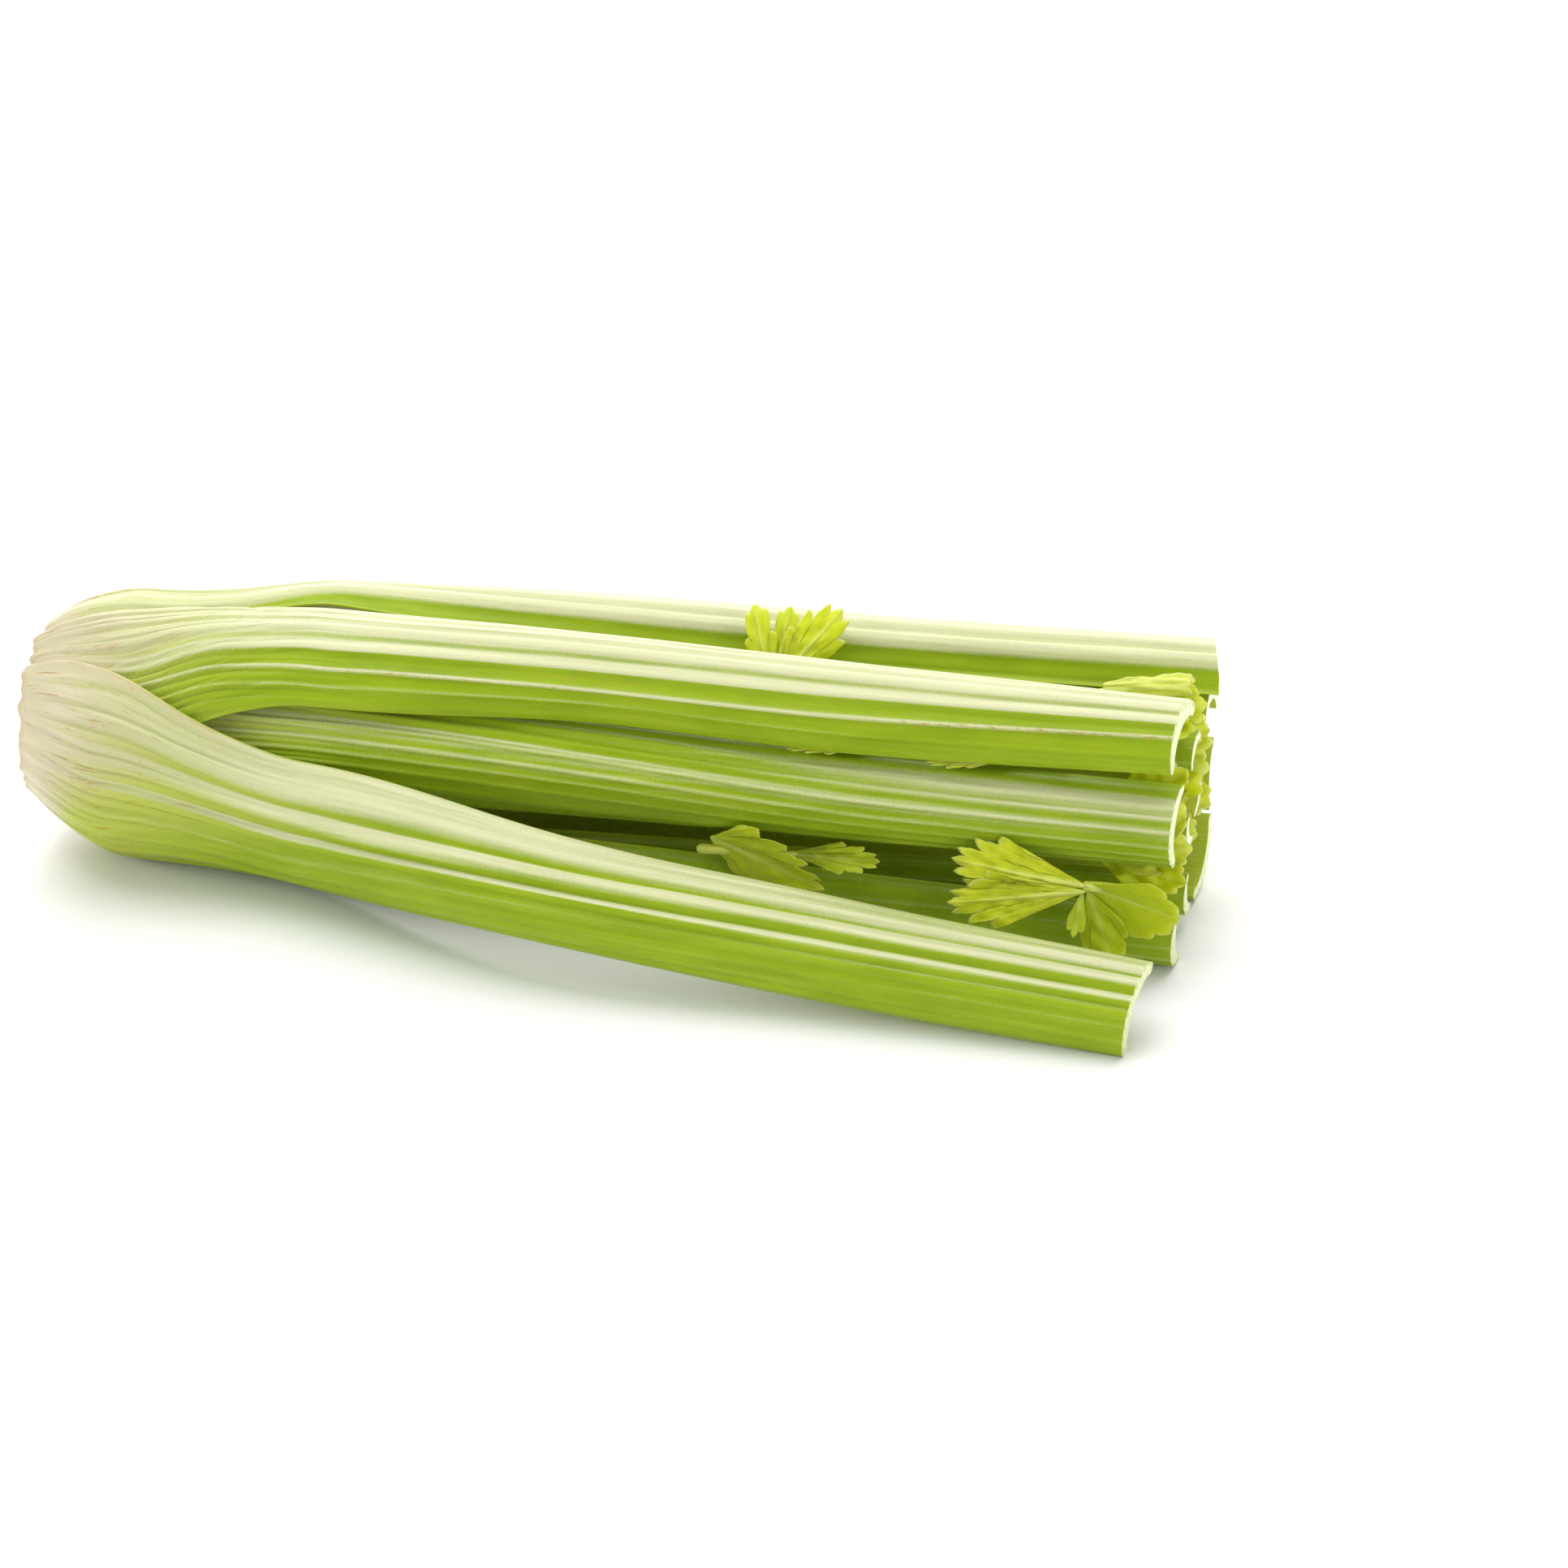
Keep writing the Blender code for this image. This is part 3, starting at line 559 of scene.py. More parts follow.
def fibre_group():
    """Lengthwise streaks and fine cross lines, on coordinates that follow a stalk."""
    nodes, given, out = group_tree(
        "Celery Fibres",
        [("Across", "Float", 0.0), ("Along", "Float", 0.0), ("Streak Width", "Float", 1.0),
         ("Streak Length", "Float", 40.0), ("Cell Size", "Float", 0.35)],
        [("Streaks", "Float"), ("Cells", "Float"), ("Clouds", "Float")])
    across = nodes.math("DIVIDE", given["Across"], given["Streak Width"])
    stretched = nodes.math("DIVIDE", given["Along"], given["Streak Length"])
    nodes.put(out["Streaks"], nodes.noise(nodes.vector(across, stretched), 1.0, 3.0, 0.6))
    cell_across = nodes.math("DIVIDE", given["Across"], nodes.times(given["Cell Size"], 3.2))
    cell_along = nodes.math("DIVIDE", given["Along"], given["Cell Size"])
    nodes.put(out["Cells"], nodes.noise(nodes.vector(cell_across, cell_along), 1.0, 1.5, 0.55, 0.6))
    clouds = nodes.vector(nodes.math("DIVIDE", given["Across"], 6.0),
                          nodes.math("DIVIDE", given["Along"], 22.0))
    nodes.put(out["Clouds"], nodes.noise(clouds, 1.0, 2.0, 0.5))
    return nodes.tree


def speck_group():
    """Small scattered brown marks, as a mask from 0 to 1."""
    nodes, given, out = group_tree(
        "Celery Specks",
        [("Across", "Float", 0.0), ("Along", "Float", 0.0), ("Spacing", "Float", 5.0),
         ("Size", "Float", 0.25), ("Share", "Float", 0.3)],
        [("Specks", "Float")])
    spot = nodes.vector(nodes.math("DIVIDE", given["Across"], given["Spacing"]),
                        nodes.math("DIVIDE", given["Along"], given["Spacing"]))
    cells = nodes.add("ShaderNodeTexVoronoi", {"Vector": spot, "Scale": 1.0}, voronoi_dimensions="2D")
    chosen = nodes.add("ShaderNodeSeparateColor", {"Color": cells.outputs["Color"]}).outputs[0]
    near = nodes.span(cells.outputs["Distance"], 0.0,
                      nodes.math("DIVIDE", given["Size"], given["Spacing"]), 1.0, 0.0)
    nodes.put(out["Specks"], nodes.times(near, nodes.math("LESS_THAN", chosen, given["Share"])))
    return nodes.tree


def root_seams(nodes, phase, across, length, width):
    """A mask for the narrow seams near the root, where each rib splits in two."""
    wobble = nodes.noise(nodes.stretched(across, length, 0.35, 0.02))
    count = nodes.plus(nodes.times(phase, 2.0), wobble)
    return nodes.span(nodes.math("PINGPONG", count, 0.5), 0.0, width, 1.0, 0.0, smoothly=True)


def skin_material(name, look, fibres, specks):
    """The ribbed skin, cream at the root and green above, with its paler hollow side and pale bands
    along the ribs that are partly a painted highlight.
    """
    made, nodes, shader = new_material(name, 0.22, Subsurface_Weight=0.12, Subsurface_Scale=0.0012,
                                       Subsurface_Radius=(1.0, 1.0, 0.2), Specular_IOR_Level=0.12,
                                       Coat_Roughness=0.27)
    across, length = nodes.attribute("across"), nodes.attribute("along")
    skin, band = nodes.attribute("skin"), nodes.attribute("band")
    lines = nodes.group(fibres, {"Across": across, "Along": length, "Streak Width": 0.9,
                                 "Streak Length": 38.0, "Cell Size": 0.42})
    streaks, cells, clouds = lines["Streaks"], lines["Cells"], lines["Clouds"]
    wander = nodes.plus(nodes.attribute("early"),
                        nodes.times_plus(streaks, 24.0, nodes.plus(length, -12.0)))
    to_pale = nodes.span(wander, 4.0, 44.0, smoothly=True)
    to_green = nodes.span(wander, 34.0, 100.0, smoothly=True)
    # Paler rib skin and painted highlight on the upper rib flanks, from each stalk's pale bands, frayed
    # by streaks and cells.
    frayed = nodes.times_plus(nodes.less(streaks, 0.5), 0.45, band)
    pale_rib_and_highlight = nodes.span(nodes.times_plus(nodes.less(cells, 0.5), 0.3, frayed),
                       0.18, 0.84)
    green = nodes.mix(nodes.span(clouds, 0.35, 0.7), look.green_colour[:], look.groove_colour[:])
    valley = nodes.mix(to_pale, look.base_colour[:], look.pale_colour[:])
    valley = nodes.mix(to_green, valley, green)
    # The pale bands take the rib colour: partly the paler skin of the ribs, partly painted highlight.
    colour = nodes.mix(to_pale, look.base_colour[:], look.rib_and_highlight_colour[:])
    colour = nodes.mix(pale_rib_and_highlight, valley, colour)
    near_root = nodes.span(length, 2.0, 62.0, 1.0, 0.0)
    seam = root_seams(nodes, nodes.attribute("rib_phase"), across, length, 0.17)
    seam = nodes.times(seam, nodes.times(nodes.span(length, 5.0, 18.0), near_root))
    colour = nodes.mix(nodes.times(seam, 0.7), colour, look.pale_colour[:])
    fine = nodes.span(streaks, 0.35, 0.65, nodes.span(length, 20.0, 80.0, 0.88, 0.95), 1.05)
    colour = nodes.shaded(colour, fine)
    marks = nodes.group(specks, {"Across": across, "Along": length, "Spacing": 5.5, "Size": 0.4,
                                 "Share": 0.25})["Specks"]
    threads = nodes.noise(nodes.stretched(across, length, 1.9, 0.075), 1.0, 3.0, 0.75)
    rust = nodes.times(nodes.span(threads, 0.60, 0.64), near_root)
    ragged = nodes.times_plus(streaks, 5.0, nodes.times(length, -1.0))
    rust = nodes.most(rust, nodes.span(ragged, 0.6, 2.6, 0.0, 0.7))
    lip = nodes.attribute("lip")
    colour = nodes.mix(nodes.times(lip, 0.7), colour, look.base_colour[:])
    dry_lip = nodes.times(nodes.span(lip, 0.9, 1.0), nodes.span(threads, 0.4, 0.6, 0.0, 0.6))
    rust = nodes.most(rust, dry_lip)
    marks = nodes.times(marks, nodes.span(near_root, 0.0, 1.0, 0.18, 0.7))
    scars = nodes.most(rust, marks)
    thorns = nodes.noise(nodes.stretched(across, length, 1.4, 0.45), 1.0, 3.0, 0.65)
    thorns = nodes.times(nodes.attribute("scar"), nodes.span(thorns, 0.5, 0.62, 0.0, 0.8))
    scars = nodes.most(scars, thorns)
    colour = nodes.mix(scars, colour, look.scar_colour[:])
    hollow = nodes.mix(nodes.span(streaks, 0.35, 0.7), look.inner_colour[:], look.pale_colour[:])
    hollow = nodes.mix(to_pale, look.base_colour[:], hollow)
    nodes.put(shader["Base Color"], nodes.mix(skin, hollow, colour))
    gloss = nodes.times_plus(cells, 0.2, 0.25)
    nodes.put(shader["Roughness"], nodes.times_plus(scars, 0.3, gloss))
    wax = nodes.times_plus(pale_rib_and_highlight, 0.45, 0.04)
    nodes.put(shader["Coat Weight"], nodes.most(wax, nodes.span(wander, 0.0, 60.0, 0.45, 0.0)))
    streak_height = nodes.span(length, 20.0, 100.0, 2.2, 0.2)
    height = nodes.times_plus(streaks, streak_height, nodes.times(cells, 0.8))
    height = nodes.times_plus(seam, -3.0, height)
    nodes.bump(shader, height, 0.55, 0.00016)
    return made


def cut_material(look):
    """The moist cut ends: pale flesh, greener under the skin."""
    made, nodes, shader = new_material("celery_cut", 0.35, Subsurface_Weight=0.25,
                                       Subsurface_Scale=0.004, Subsurface_Radius=(1.0, 1.0, 0.3),
                                       Coat_Weight=0.3, Coat_Roughness=0.25)
    depth = nodes.attribute("depth")
    place = nodes.add("ShaderNodeTexCoord").outputs["Object"]
    grain = nodes.noise(place, 900.0, 3.0, 0.6)
    pith = nodes.add("ShaderNodeTexVoronoi", {"Vector": place, "Scale": 1500.0})
    phase = nodes.attribute("rib_phase")
    off = nodes.less(phase, nodes.math("ROUND", phase))
    off = nodes.times(off, nodes.attribute("rib_pitch"))
    inset = nodes.times_plus(depth, 5.0, -1.0)
    far = nodes.math("SQRT", nodes.plus(nodes.math("POWER", off, 2.0), nodes.math("POWER", inset, 2.0)))
    bundle = nodes.span(far, 0.45, 0.7, 1.0, 0.0)
    halo = nodes.span(far, 0.7, 1.3, 1.0, 0.0)
    rim = nodes.most(nodes.span(depth, 0.0, 0.08, 1.0, 0.0), nodes.span(depth, 0.95, 1.0))
    colour = nodes.mix(nodes.span(grain, 0.35, 0.65), look.flesh_colour[:],
                       tuple(min(1.0, c * 1.2) for c in look.flesh_colour))
    colour = nodes.mix(nodes.times(halo, 0.5), colour, look.rib_and_highlight_colour[:])
    colour = nodes.mix(nodes.times(bundle, 0.6), colour, look.groove_colour[:])
    colour = nodes.mix(nodes.times(rim, 0.8), colour, look.green_colour[:])
    spots = nodes.span(pith.outputs["Distance"], 0.0, 0.5, 0.88, 1.05)
    colour = nodes.shaded(colour, spots)
    nodes.put(shader["Base Color"], colour)
    height = nodes.plus(grain, nodes.times(pith.outputs["Distance"], 0.5))
    nodes.bump(shader, height, 0.5, 0.0002)
    return made


def root_material(look):
    """The dry, brown, layered cut of the root."""
    made, nodes, shader = new_material("celery_root", 0.75, Subsurface_Weight=0.05,
                                       Subsurface_Scale=0.002)
    place = nodes.add("ShaderNodeTexCoord").outputs["Object"]
    coarse = nodes.noise(place, 260.0, 4.0, 0.65)
    fine = nodes.noise(place, 1400.0, 3.0, 0.6)
    dark = tuple(0.35 * c for c in look.root_colour)
    pale = tuple(min(1.0, c * f) for c, f in zip(look.root_colour, (1.7, 2.1, 2.8)))
    colour = nodes.mix(nodes.span(coarse, 0.38, 0.62), pale, look.root_colour[:])
    colour = nodes.mix(nodes.span(fine, 0.55, 0.72), colour, dark)
    crease = nodes.attribute("crease")
    colour = nodes.mix(nodes.times(crease, 0.7), colour, dark)
    nodes.put(shader["Base Color"], colour)
    nodes.put(shader["Roughness"], nodes.span(fine, 0.3, 0.7, 0.6, 0.9))
    height = nodes.plus(coarse, nodes.times(fine, 0.5))
    nodes.bump(shader, height, 0.8, 0.0006)
    return made


def leaf_material(name, leaf, brightness=1.0):
    """Thin leaf blade: paler veins and rim, a faint net between them, cloudy deeper patches, and
    painted shade: a blade of tone below 1 is painted darker green, a young blade of tone above 1 paler.
    """
    made, nodes, shader = new_material(name, 0.42, Subsurface_Weight=0.35, Subsurface_Scale=0.002,
                                       Subsurface_Radius=(1.0, 1.0, 0.1), Specular_IOR_Level=0.2)
    vein, rim, tone = nodes.attribute("vein"), nodes.attribute("rim"), nodes.attribute("tone")
    spot = nodes.vector(nodes.attribute("leaf_u"), nodes.attribute("leaf_v"))
    net = nodes.add("ShaderNodeTexVoronoi", {"Vector": spot, "Scale": 1.1, "Randomness": 0.9},
                    feature="DISTANCE_TO_EDGE", voronoi_dimensions="2D")
    net = nodes.span(net.outputs["Distance"], 0.0, 0.12, 1.0, 0.0)
    clouds = nodes.noise(spot, 0.22, 3.0, 0.6)
    fine = nodes.noise(spot, 2.6, 3.0, 0.6)
    # Deeper patches from clouds, and painted shade over a whole blade whose tone is below 1.
    deep = nodes.most(nodes.span(clouds, 0.48, 0.72, 0.0, 0.6), nodes.less(1.0, tone))
    bright = tuple(min(1.0, c * brightness) for c in leaf.blade_colour)
    blade = nodes.mix(deep, bright, leaf.patch_and_shade_colour[:])
    blade = nodes.mix(nodes.times(net, 0.16), blade, leaf.vein_colour[:])
    pale = nodes.most(nodes.times(vein, 0.85), nodes.times(rim, 0.45))
    # The veins and rim of a blade in painted shade are darker as well.
    pale = nodes.times(pale, nodes.span(tone, 0.0, 1.0, 0.4, 1.0))
    blade = nodes.mix(nodes.span(tone, 1.0, 1.6, 0.0, 0.75), blade, leaf.vein_colour[:])
    nodes.put(shader["Base Color"], nodes.mix(pale, blade, leaf.vein_colour[:]))
    nodes.put(shader["Roughness"], nodes.span(fine, 0.3, 0.7, 0.36, 0.5))
    height = nodes.less(nodes.times(fine, 0.4), nodes.times(net, 0.4))
    nodes.bump(shader, height, 0.4, 0.00015)
    return made


def look_of(name, make, *given):
    """The named material, made once."""
    return bpy.data.materials.get(name) or make(*given)


def shared(name, make):
    """The named node group, made once."""
    return bpy.data.node_groups.get(name) or make()


def skin_look(scene):
    fibres, specks = shared("Celery Fibres", fibre_group), shared("Celery Specks", speck_group)
    return look_of("celery_skin", skin_material, "celery_skin", scene.celery_skin, fibres, specks)


def cut_look(scene):
    return look_of("celery_cut", cut_material, scene.celery_skin)


def mesh_object(name, points, faces, attributes=(), face_flags=()):
    """A smooth mesh object at the origin from points in the head's frame, in millimetres."""
    mesh = bpy.data.meshes.new(name)
    mesh.from_pydata(((np.asarray(points) + SHIFT) * MM).tolist(), [], [list(f) for f in faces])
    for key, values in dict(attributes).items():
        values = np.asarray(values, np.float32)
        kind = "FLOAT" if values.ndim == 1 else "FLOAT_VECTOR"
        layer = mesh.attributes.new(key, kind, "POINT")
        layer.data.foreach_set("value" if values.ndim == 1 else "vector", values.ravel())
    for key, values in dict(face_flags).items():
        mesh.attributes.new(key, "BOOLEAN", "FACE").data.foreach_set("value", values)
    mesh.shade_smooth()
    made = bpy.data.objects.new(name, mesh)
    bpy.context.scene.collection.objects.link(made)
    return made


def welded(points, faces, attributes):
    """The same mesh with points that fall together made one, and the faces that vanish dropped."""
    _, first, index = np.unique(np.round(points, 5), axis=0, return_index=True, return_inverse=True)
    index = index.reshape(-1)
    kept = []
    for face in faces:
        turned = [int(index[i]) for i in face]
        turned = [p for n, p in enumerate(turned) if p != turned[n - 1]]
        if len(set(turned)) > 2:
            kept.append(turned)
    return points[first], kept, {key: np.asarray(v)[first] for key, v in attributes.items()}


def grid_faces(rows, columns, start=0, closed=False, flip=False):
    """Quads over a grid of points numbered row by row."""
    last = columns if closed else columns - 1
    i, j = np.meshgrid(np.arange(rows - 1), np.arange(last), indexing="ij")
    i, j = i.ravel() * columns, j.ravel()
    k = (j + 1) % columns
    quads = np.stack([i + j, i + k, i + columns + k, i + columns + j], 1)
    return (quads[:, ::-1] if flip else quads) + start


def stalk_shape(stalk, columns, rows):
    """A stalk's smooth crescent loft with what the rib tree and the skin need to know."""
    outside = STALKS[:STALKS.index(stalk)]
    layout = edge_columns(columns)
    s, depth, past = layout
    count = len(s)
    x_rows = stalk.start + (stalk.end - stalk.start) * (0.35 * np.linspace(0, 1, rows)
                                                        + 0.65 * np.linspace(0, 1, rows) ** 1.4)
    tracks = np.array([rib.places for rib in stalk.ribs])
    number = np.arange(len(tracks))
    half_width = math.radians(stalk.free[:, 4].mean()) * stalk.free[:, 2].mean()
    points, data = [], {key: [] for key in (
        "across", "along", "skin", "depth", "early", "lip", "rib_phase", "rib_pitch", "rib_width",
        "rib_height", "band", "scar", "outward")}
    inner = slice(count - 2, 0, -1)
    for x in x_rows:
        outer_row, inner_row, out = section(stalk, outside, layout, x)
        ring = np.concatenate([outer_row, inner_row[inner]])
        ring[:, 1] = np.maximum(ring[:, 1], 0)
        around = np.concatenate([s, s[inner]])
        torn = 1.2 + np.sin(9 * around + 3) * np.sin(15 * around)
        torn = torn + 0.5 * np.sin(31 * around + 3 * np.sin(7 * around))
        torn = TEAR_DEPTH * np.clip(torn, 0, None) * (1 - smooth(0, TEAR_REACH, x))
        points.append(np.column_stack([lean(stalk, ring, x) + torn * (stalk.start == 0), ring]))
        places = along(RIB_X, tracks.T, min(max(x, RIB_X[0]), RIB_X[-1]))
        # The first and the last rib end the count, and the skin runs on evenly beyond them.
        phase = np.interp(s, places, number)
        phase += np.where(s > places[-1], 0.45 * smooth(0, 0.3, s - places[-1]), 0)
        phase -= np.where(s < places[0], 0.45 * smooth(0, 0.3, places[0] - s), 0)
        arc = math.radians(along(KEY_X, stalk.free, max(x, FREE_START))[4]) * along(
            KEY_X, stalk.free, max(x, FREE_START))[2]
        spacing = np.gradient(places) * arc
        pitch = np.interp(phase, number, spacing)
        scar = sum(strength * np.exp(-(((phase - at) / size) ** 2)) * smooth(low, low + 15, x)
                   * (1 - smooth(high - 12, high, x)) for at, size, low, high, strength in stalk.scars)
        # Pale bands of the skin, partly painted highlight, blended from those near the base to those
        # near the cut top.
        near, far = (np.interp(phase, stalk.bands[:, 0], stalk.bands[:, k]) for k in (1, 2))
        share = float(smooth(*BANDS_TURN, x))
        skin = (1 - 2 * depth) ** 2 * (0.8 + 0.2 * smooth(WRAP_END, FREE_START, x))
        row = {"across": s * half_width + past * 4 + 100 * STALKS.index(stalk), "along": 0 * s + x,
               "skin": skin * smooth(-10, 9, x), "depth": depth,
               "lip": smooth(0.95, 0.995, s) * smooth(2, 14, x) * (1 - smooth(46, 66, x)),
               "early": EARLY_GREEN * (1 - smooth(-0.4, 0.5, s)) * smooth(4, 18, x),
               "rib_phase": phase, "rib_pitch": pitch,
               "rib_width": np.interp(phase, number, [rib.width for rib in stalk.ribs]),
               "rib_height": np.interp(phase, number, [rib.height for rib in stalk.ribs]),
               "band": near * (1 - share) + far * share, "scar": 0 * s + scar}
        back = {**row, "skin": 0 * s, "depth": 1 - depth}
        for key in row:
            data[key].append(np.concatenate([row[key], back[key][inner]]))
        turned = np.column_stack([0 * s, out])
        data["outward"].append(np.concatenate([turned, turned[inner]]))
    ring_count = len(points[0])
    rings = np.concatenate(points)
    faces = [grid_faces(rows, ring_count, closed=True)]
    flags = [np.zeros(len(faces[0]), bool)]
    extra = [rings]
    more = {key: [np.concatenate(values)] for key, values in data.items()}
    at = len(rings)
    for end, flip in ((0, True), (rows - 1, False)):
        ring = end * ring_count + np.arange(ring_count)
        outer_index = ring[:count]
        inner_index = np.concatenate([[ring[0]], ring[count:][::-1], [ring[count - 1]]])
        share = np.linspace(0, 1, CUT_ROWS)[1:-1, None, None]
        middle = rings[outer_index[1:-1]] * (1 - share) + rings[inner_index[1:-1]] * share
        extra.append(middle.reshape(-1, 3))
        for key in more:
            one, two = more[key][0][outer_index[1:-1]], more[key][0][inner_index[1:-1]]
            weight = share if one.ndim == 2 else share[:, :, 0]
            mixed = one * (1 - weight) + two * weight
            if key == "skin":
                mixed = mixed * 0 + one * (1 - weight) ** 2
            more[key].append(mixed.reshape(-1, *one.shape[1:]))
        inside = at + np.arange((CUT_ROWS - 2) * (count - 2)).reshape(CUT_ROWS - 2, count - 2)
        table = np.vstack([outer_index[1:-1], inside, inner_index[1:-1]])
        quads = np.stack([table[:-1, :-1], table[:-1, 1:], table[1:, 1:], table[1:, :-1]], -1)
        quads = quads.reshape(-1, 4)
        quads = quads[:, ::-1] if flip else quads
        # At each edge the rows close on the section's tip.
        left = np.stack([np.full(CUT_ROWS - 1, ring[0]), table[:-1, 0], table[1:, 0]], 1)
        right = np.stack([table[:-1, -1], np.full(CUT_ROWS - 1, ring[count - 1]), table[1:, -1]], 1)
        fans = [tri[:, ::-1] if flip else tri for tri in (left, right)]
        faces += [quads, *fans]
        flags += [np.ones(len(part), bool) for part in (quads, *fans)]
        at += inside.size
    attributes = {key: np.concatenate(values) for key, values in more.items()}
    made = mesh_object(stalk.name + "_skin", np.concatenate(extra),
                       [face for part in faces for face in part.tolist()], attributes,
                       {"cut": np.concatenate(flags)})
    edges = np.array([e.vertices[:] for e in made.data.edges])
    last = len(rings) - ring_count
    rim = np.all(edges < ring_count, 1) | (np.all(edges >= last, 1) & np.all(edges < len(rings), 1))
    made.data.attributes.new("sharp_edge", "BOOLEAN", "EDGE").data.foreach_set("value", rim)
    return made


def rib_tree():
    """Geometry nodes that raise the ribs of a stalk out of its smooth loft."""
    nodes, given, out = group_tree(
        "Celery Ribs",
        [("Geometry", "Geometry", None), ("Rib Height", "Float", 1.0), ("Rib Width", "Float", 1.0),
         ("Seam Depth", "Float", 0.0004), ("Fine Line Height", "Float", 0.0001),
         ("Swell Height", "Float", 0.0003), ("Seed", "Int", 0),
         ("Skin", "Material", None), ("Cut", "Material", None)],
        [("Geometry", "Geometry")], "GeometryNodeTree")

    def named(name, kind="FLOAT"):
        return nodes.add("GeometryNodeInputNamedAttribute", {"Name": name}, data_type=kind).outputs[0]

    phase, length, across = named("rib_phase"), named("along"), named("across")
    number = nodes.math("ROUND", phase)
    off = nodes.times(nodes.less(phase, number), nodes.times(named("rib_pitch"), MM))
    width = nodes.times(nodes.times(given["Rib Width"], MM), named("rib_width"))
    rise = nodes.times(nodes.times(given["Rib Height"], MM), named("rib_height"))
    aside = nodes.math("ABSOLUTE", nodes.math("DIVIDE", off, width))
    top = nodes.math("EXPONENT", nodes.times(-1.0, nodes.math("POWER", aside, 2.4)))
    seam = root_seams(nodes, phase, across, length, 0.26)
    seam_length = nodes.times(nodes.span(length, 2.0, 12.0), nodes.span(length, 30.0, 80.0, 1.0, 0.0))
    seam = nodes.times(nodes.times(seam, seam_length), given["Seam Depth"])
    wave = nodes.noise(nodes.stretched(phase, length, 0.7, 0.035, given["Seed"]), 1.0, 1.0)
    rise = nodes.times(rise, nodes.span(wave, 0.25, 0.75, 0.8, 1.15))
    drop = nodes.times(nodes.less(1.0, top), rise)
    fine = nodes.noise(nodes.stretched(across, length, 0.8, 0.02), 1.0, 2.0)
    fine = nodes.times(fine, given["Fine Line Height"])
    swell = nodes.noise(nodes.stretched(across, length, 0.12, 0.03), 1.0, 1.0)
    swell = nodes.times(swell, given["Swell Height"])
    inward = nodes.plus(nodes.plus(nodes.plus(drop, fine), swell), seam)
    inward = nodes.times(inward, nodes.times(named("skin"), -1.0))
    offset = nodes.add("ShaderNodeVectorMath", {0: named("outward", "FLOAT_VECTOR"), "Scale": inward},
                       operation="SCALE").outputs[0]
    moved = nodes.add("GeometryNodeSetPosition", {"Geometry": given["Geometry"], "Offset": offset})
    real = nodes.add("GeometryNodeRealizeInstances", {"Geometry": moved.outputs[0]})
    skinned = nodes.add("GeometryNodeSetMaterial",
                        {"Geometry": real.outputs[0], "Material": given["Skin"]})
    ends = nodes.add("GeometryNodeSetMaterial", {"Geometry": skinned.outputs[0],
                     "Selection": named("cut", "BOOLEAN"), "Material": given["Cut"]})
    nodes.put(out["Geometry"], ends.outputs[0])
    return nodes.tree


def through_nodes(made, tree, values):
    """The object's mesh after a geometry node tree with these inputs, the modifier gone again."""
    modifier = made.modifiers.new("build", "NODES")
    modifier.node_group = tree
    keys = {item.name: item.identifier for item in tree.interface.items_tree
            if item.item_type == "SOCKET" and item.in_out == "INPUT"}
    for name, value in values.items():
        modifier[keys[name]] = value
    graph = bpy.context.evaluated_depsgraph_get()
    finished = bpy.data.meshes.new_from_object(made.evaluated_get(graph))
    made.modifiers.clear()
    old, made.data = made.data, finished
    bpy.data.meshes.remove(old)
    finished.name = made.name
    return made


def stand_for(made, node):
    """The piece rides on the root body and stands for its node, whose part is hidden."""
    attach(made, "root")
    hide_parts(node)


def build_stalks(context, stalks, columns, rows):
    """Finished stalks: smooth lofts, ribs by geometry nodes, skin and cut ends."""
    look = context.scene.celery_skin
    tree = shared("Celery Ribs", rib_tree)
    for stalk in stalks:
        made = stalk_shape(stalk, columns, rows)
        values = {"Rib Height": look.rib_height, "Rib Width": look.rib_width,
                  "Seam Depth": look.seam_depth, "Fine Line Height": look.fine_height,
                  "Swell Height": look.swell_height,
                  "Seed": look.seed + STALKS.index(stalk), "Skin": skin_look(context.scene),
                  "Cut": cut_look(context.scene)}
        through_nodes(made, tree, values)
        stand_for(made, stalk.name)


def unit(vector):
    return vector / np.linalg.norm(vector)


def crown_shape():
    """The root's plate: a rough layered cut face and its side, as one closed mesh."""
    angle = np.linspace(0, 360, 180, endpoint=False)
    rings, crease = [], []
    rng = np.random.default_rng(3)
    wobble = rng.uniform(0, 2 * math.pi, 8)

    def rim(x, inset):
        radius = wrapped_radius(OUTER, angle, x) - inset
        return base_centre(x) + outward_at(angle) * radius[:, None]

    for share in np.linspace(0.02, 1, 34):
        edge = rim(0, 0.6)
        centre = edge.mean(0)
        turn = np.radians(angle)
        ring_wave = sum(np.sin(turn * (k + 2) + wobble[k]) / (k + 2) for k in range(6))
        layer = share * 5.2 + 0.22 * ring_wave
        groove = np.exp(-(((layer - np.round(layer)) / 0.13) ** 2)) * (share > 0.12)
        bumps = 0.35 * np.sin(turn * 9 + share * 17 + wobble[6]) * np.sin(turn * 4 - share * 23)
        x = 0.35 + 0.9 * groove + 0.25 * (1 + bumps) + 0.5 * (1 - share)
        x = np.clip(x, 0.05, None) * (share < 0.999) + 0.35 * (share >= 0.999)
        points = centre + (edge - centre) * share
        rings.append(np.column_stack([x, points]))
        crease.append(groove)
    for x in np.linspace(1.2, CROWN_DEPTH, 8):
        points = rim(x, 0.0)
        rings.append(np.column_stack([np.full(len(angle), x), points]))
        crease.append(0 * angle)
    points = np.concatenate(rings)
    crease = np.concatenate(crease)
    faces = grid_faces(len(rings), len(angle), closed=True, flip=True).tolist()
    faces.append(list(range(len(angle))))
    faces.append([len(points) - 1 - i for i in range(len(angle))])
    return mesh_object("root_crown_cut", points, faces, {"crease": crease})


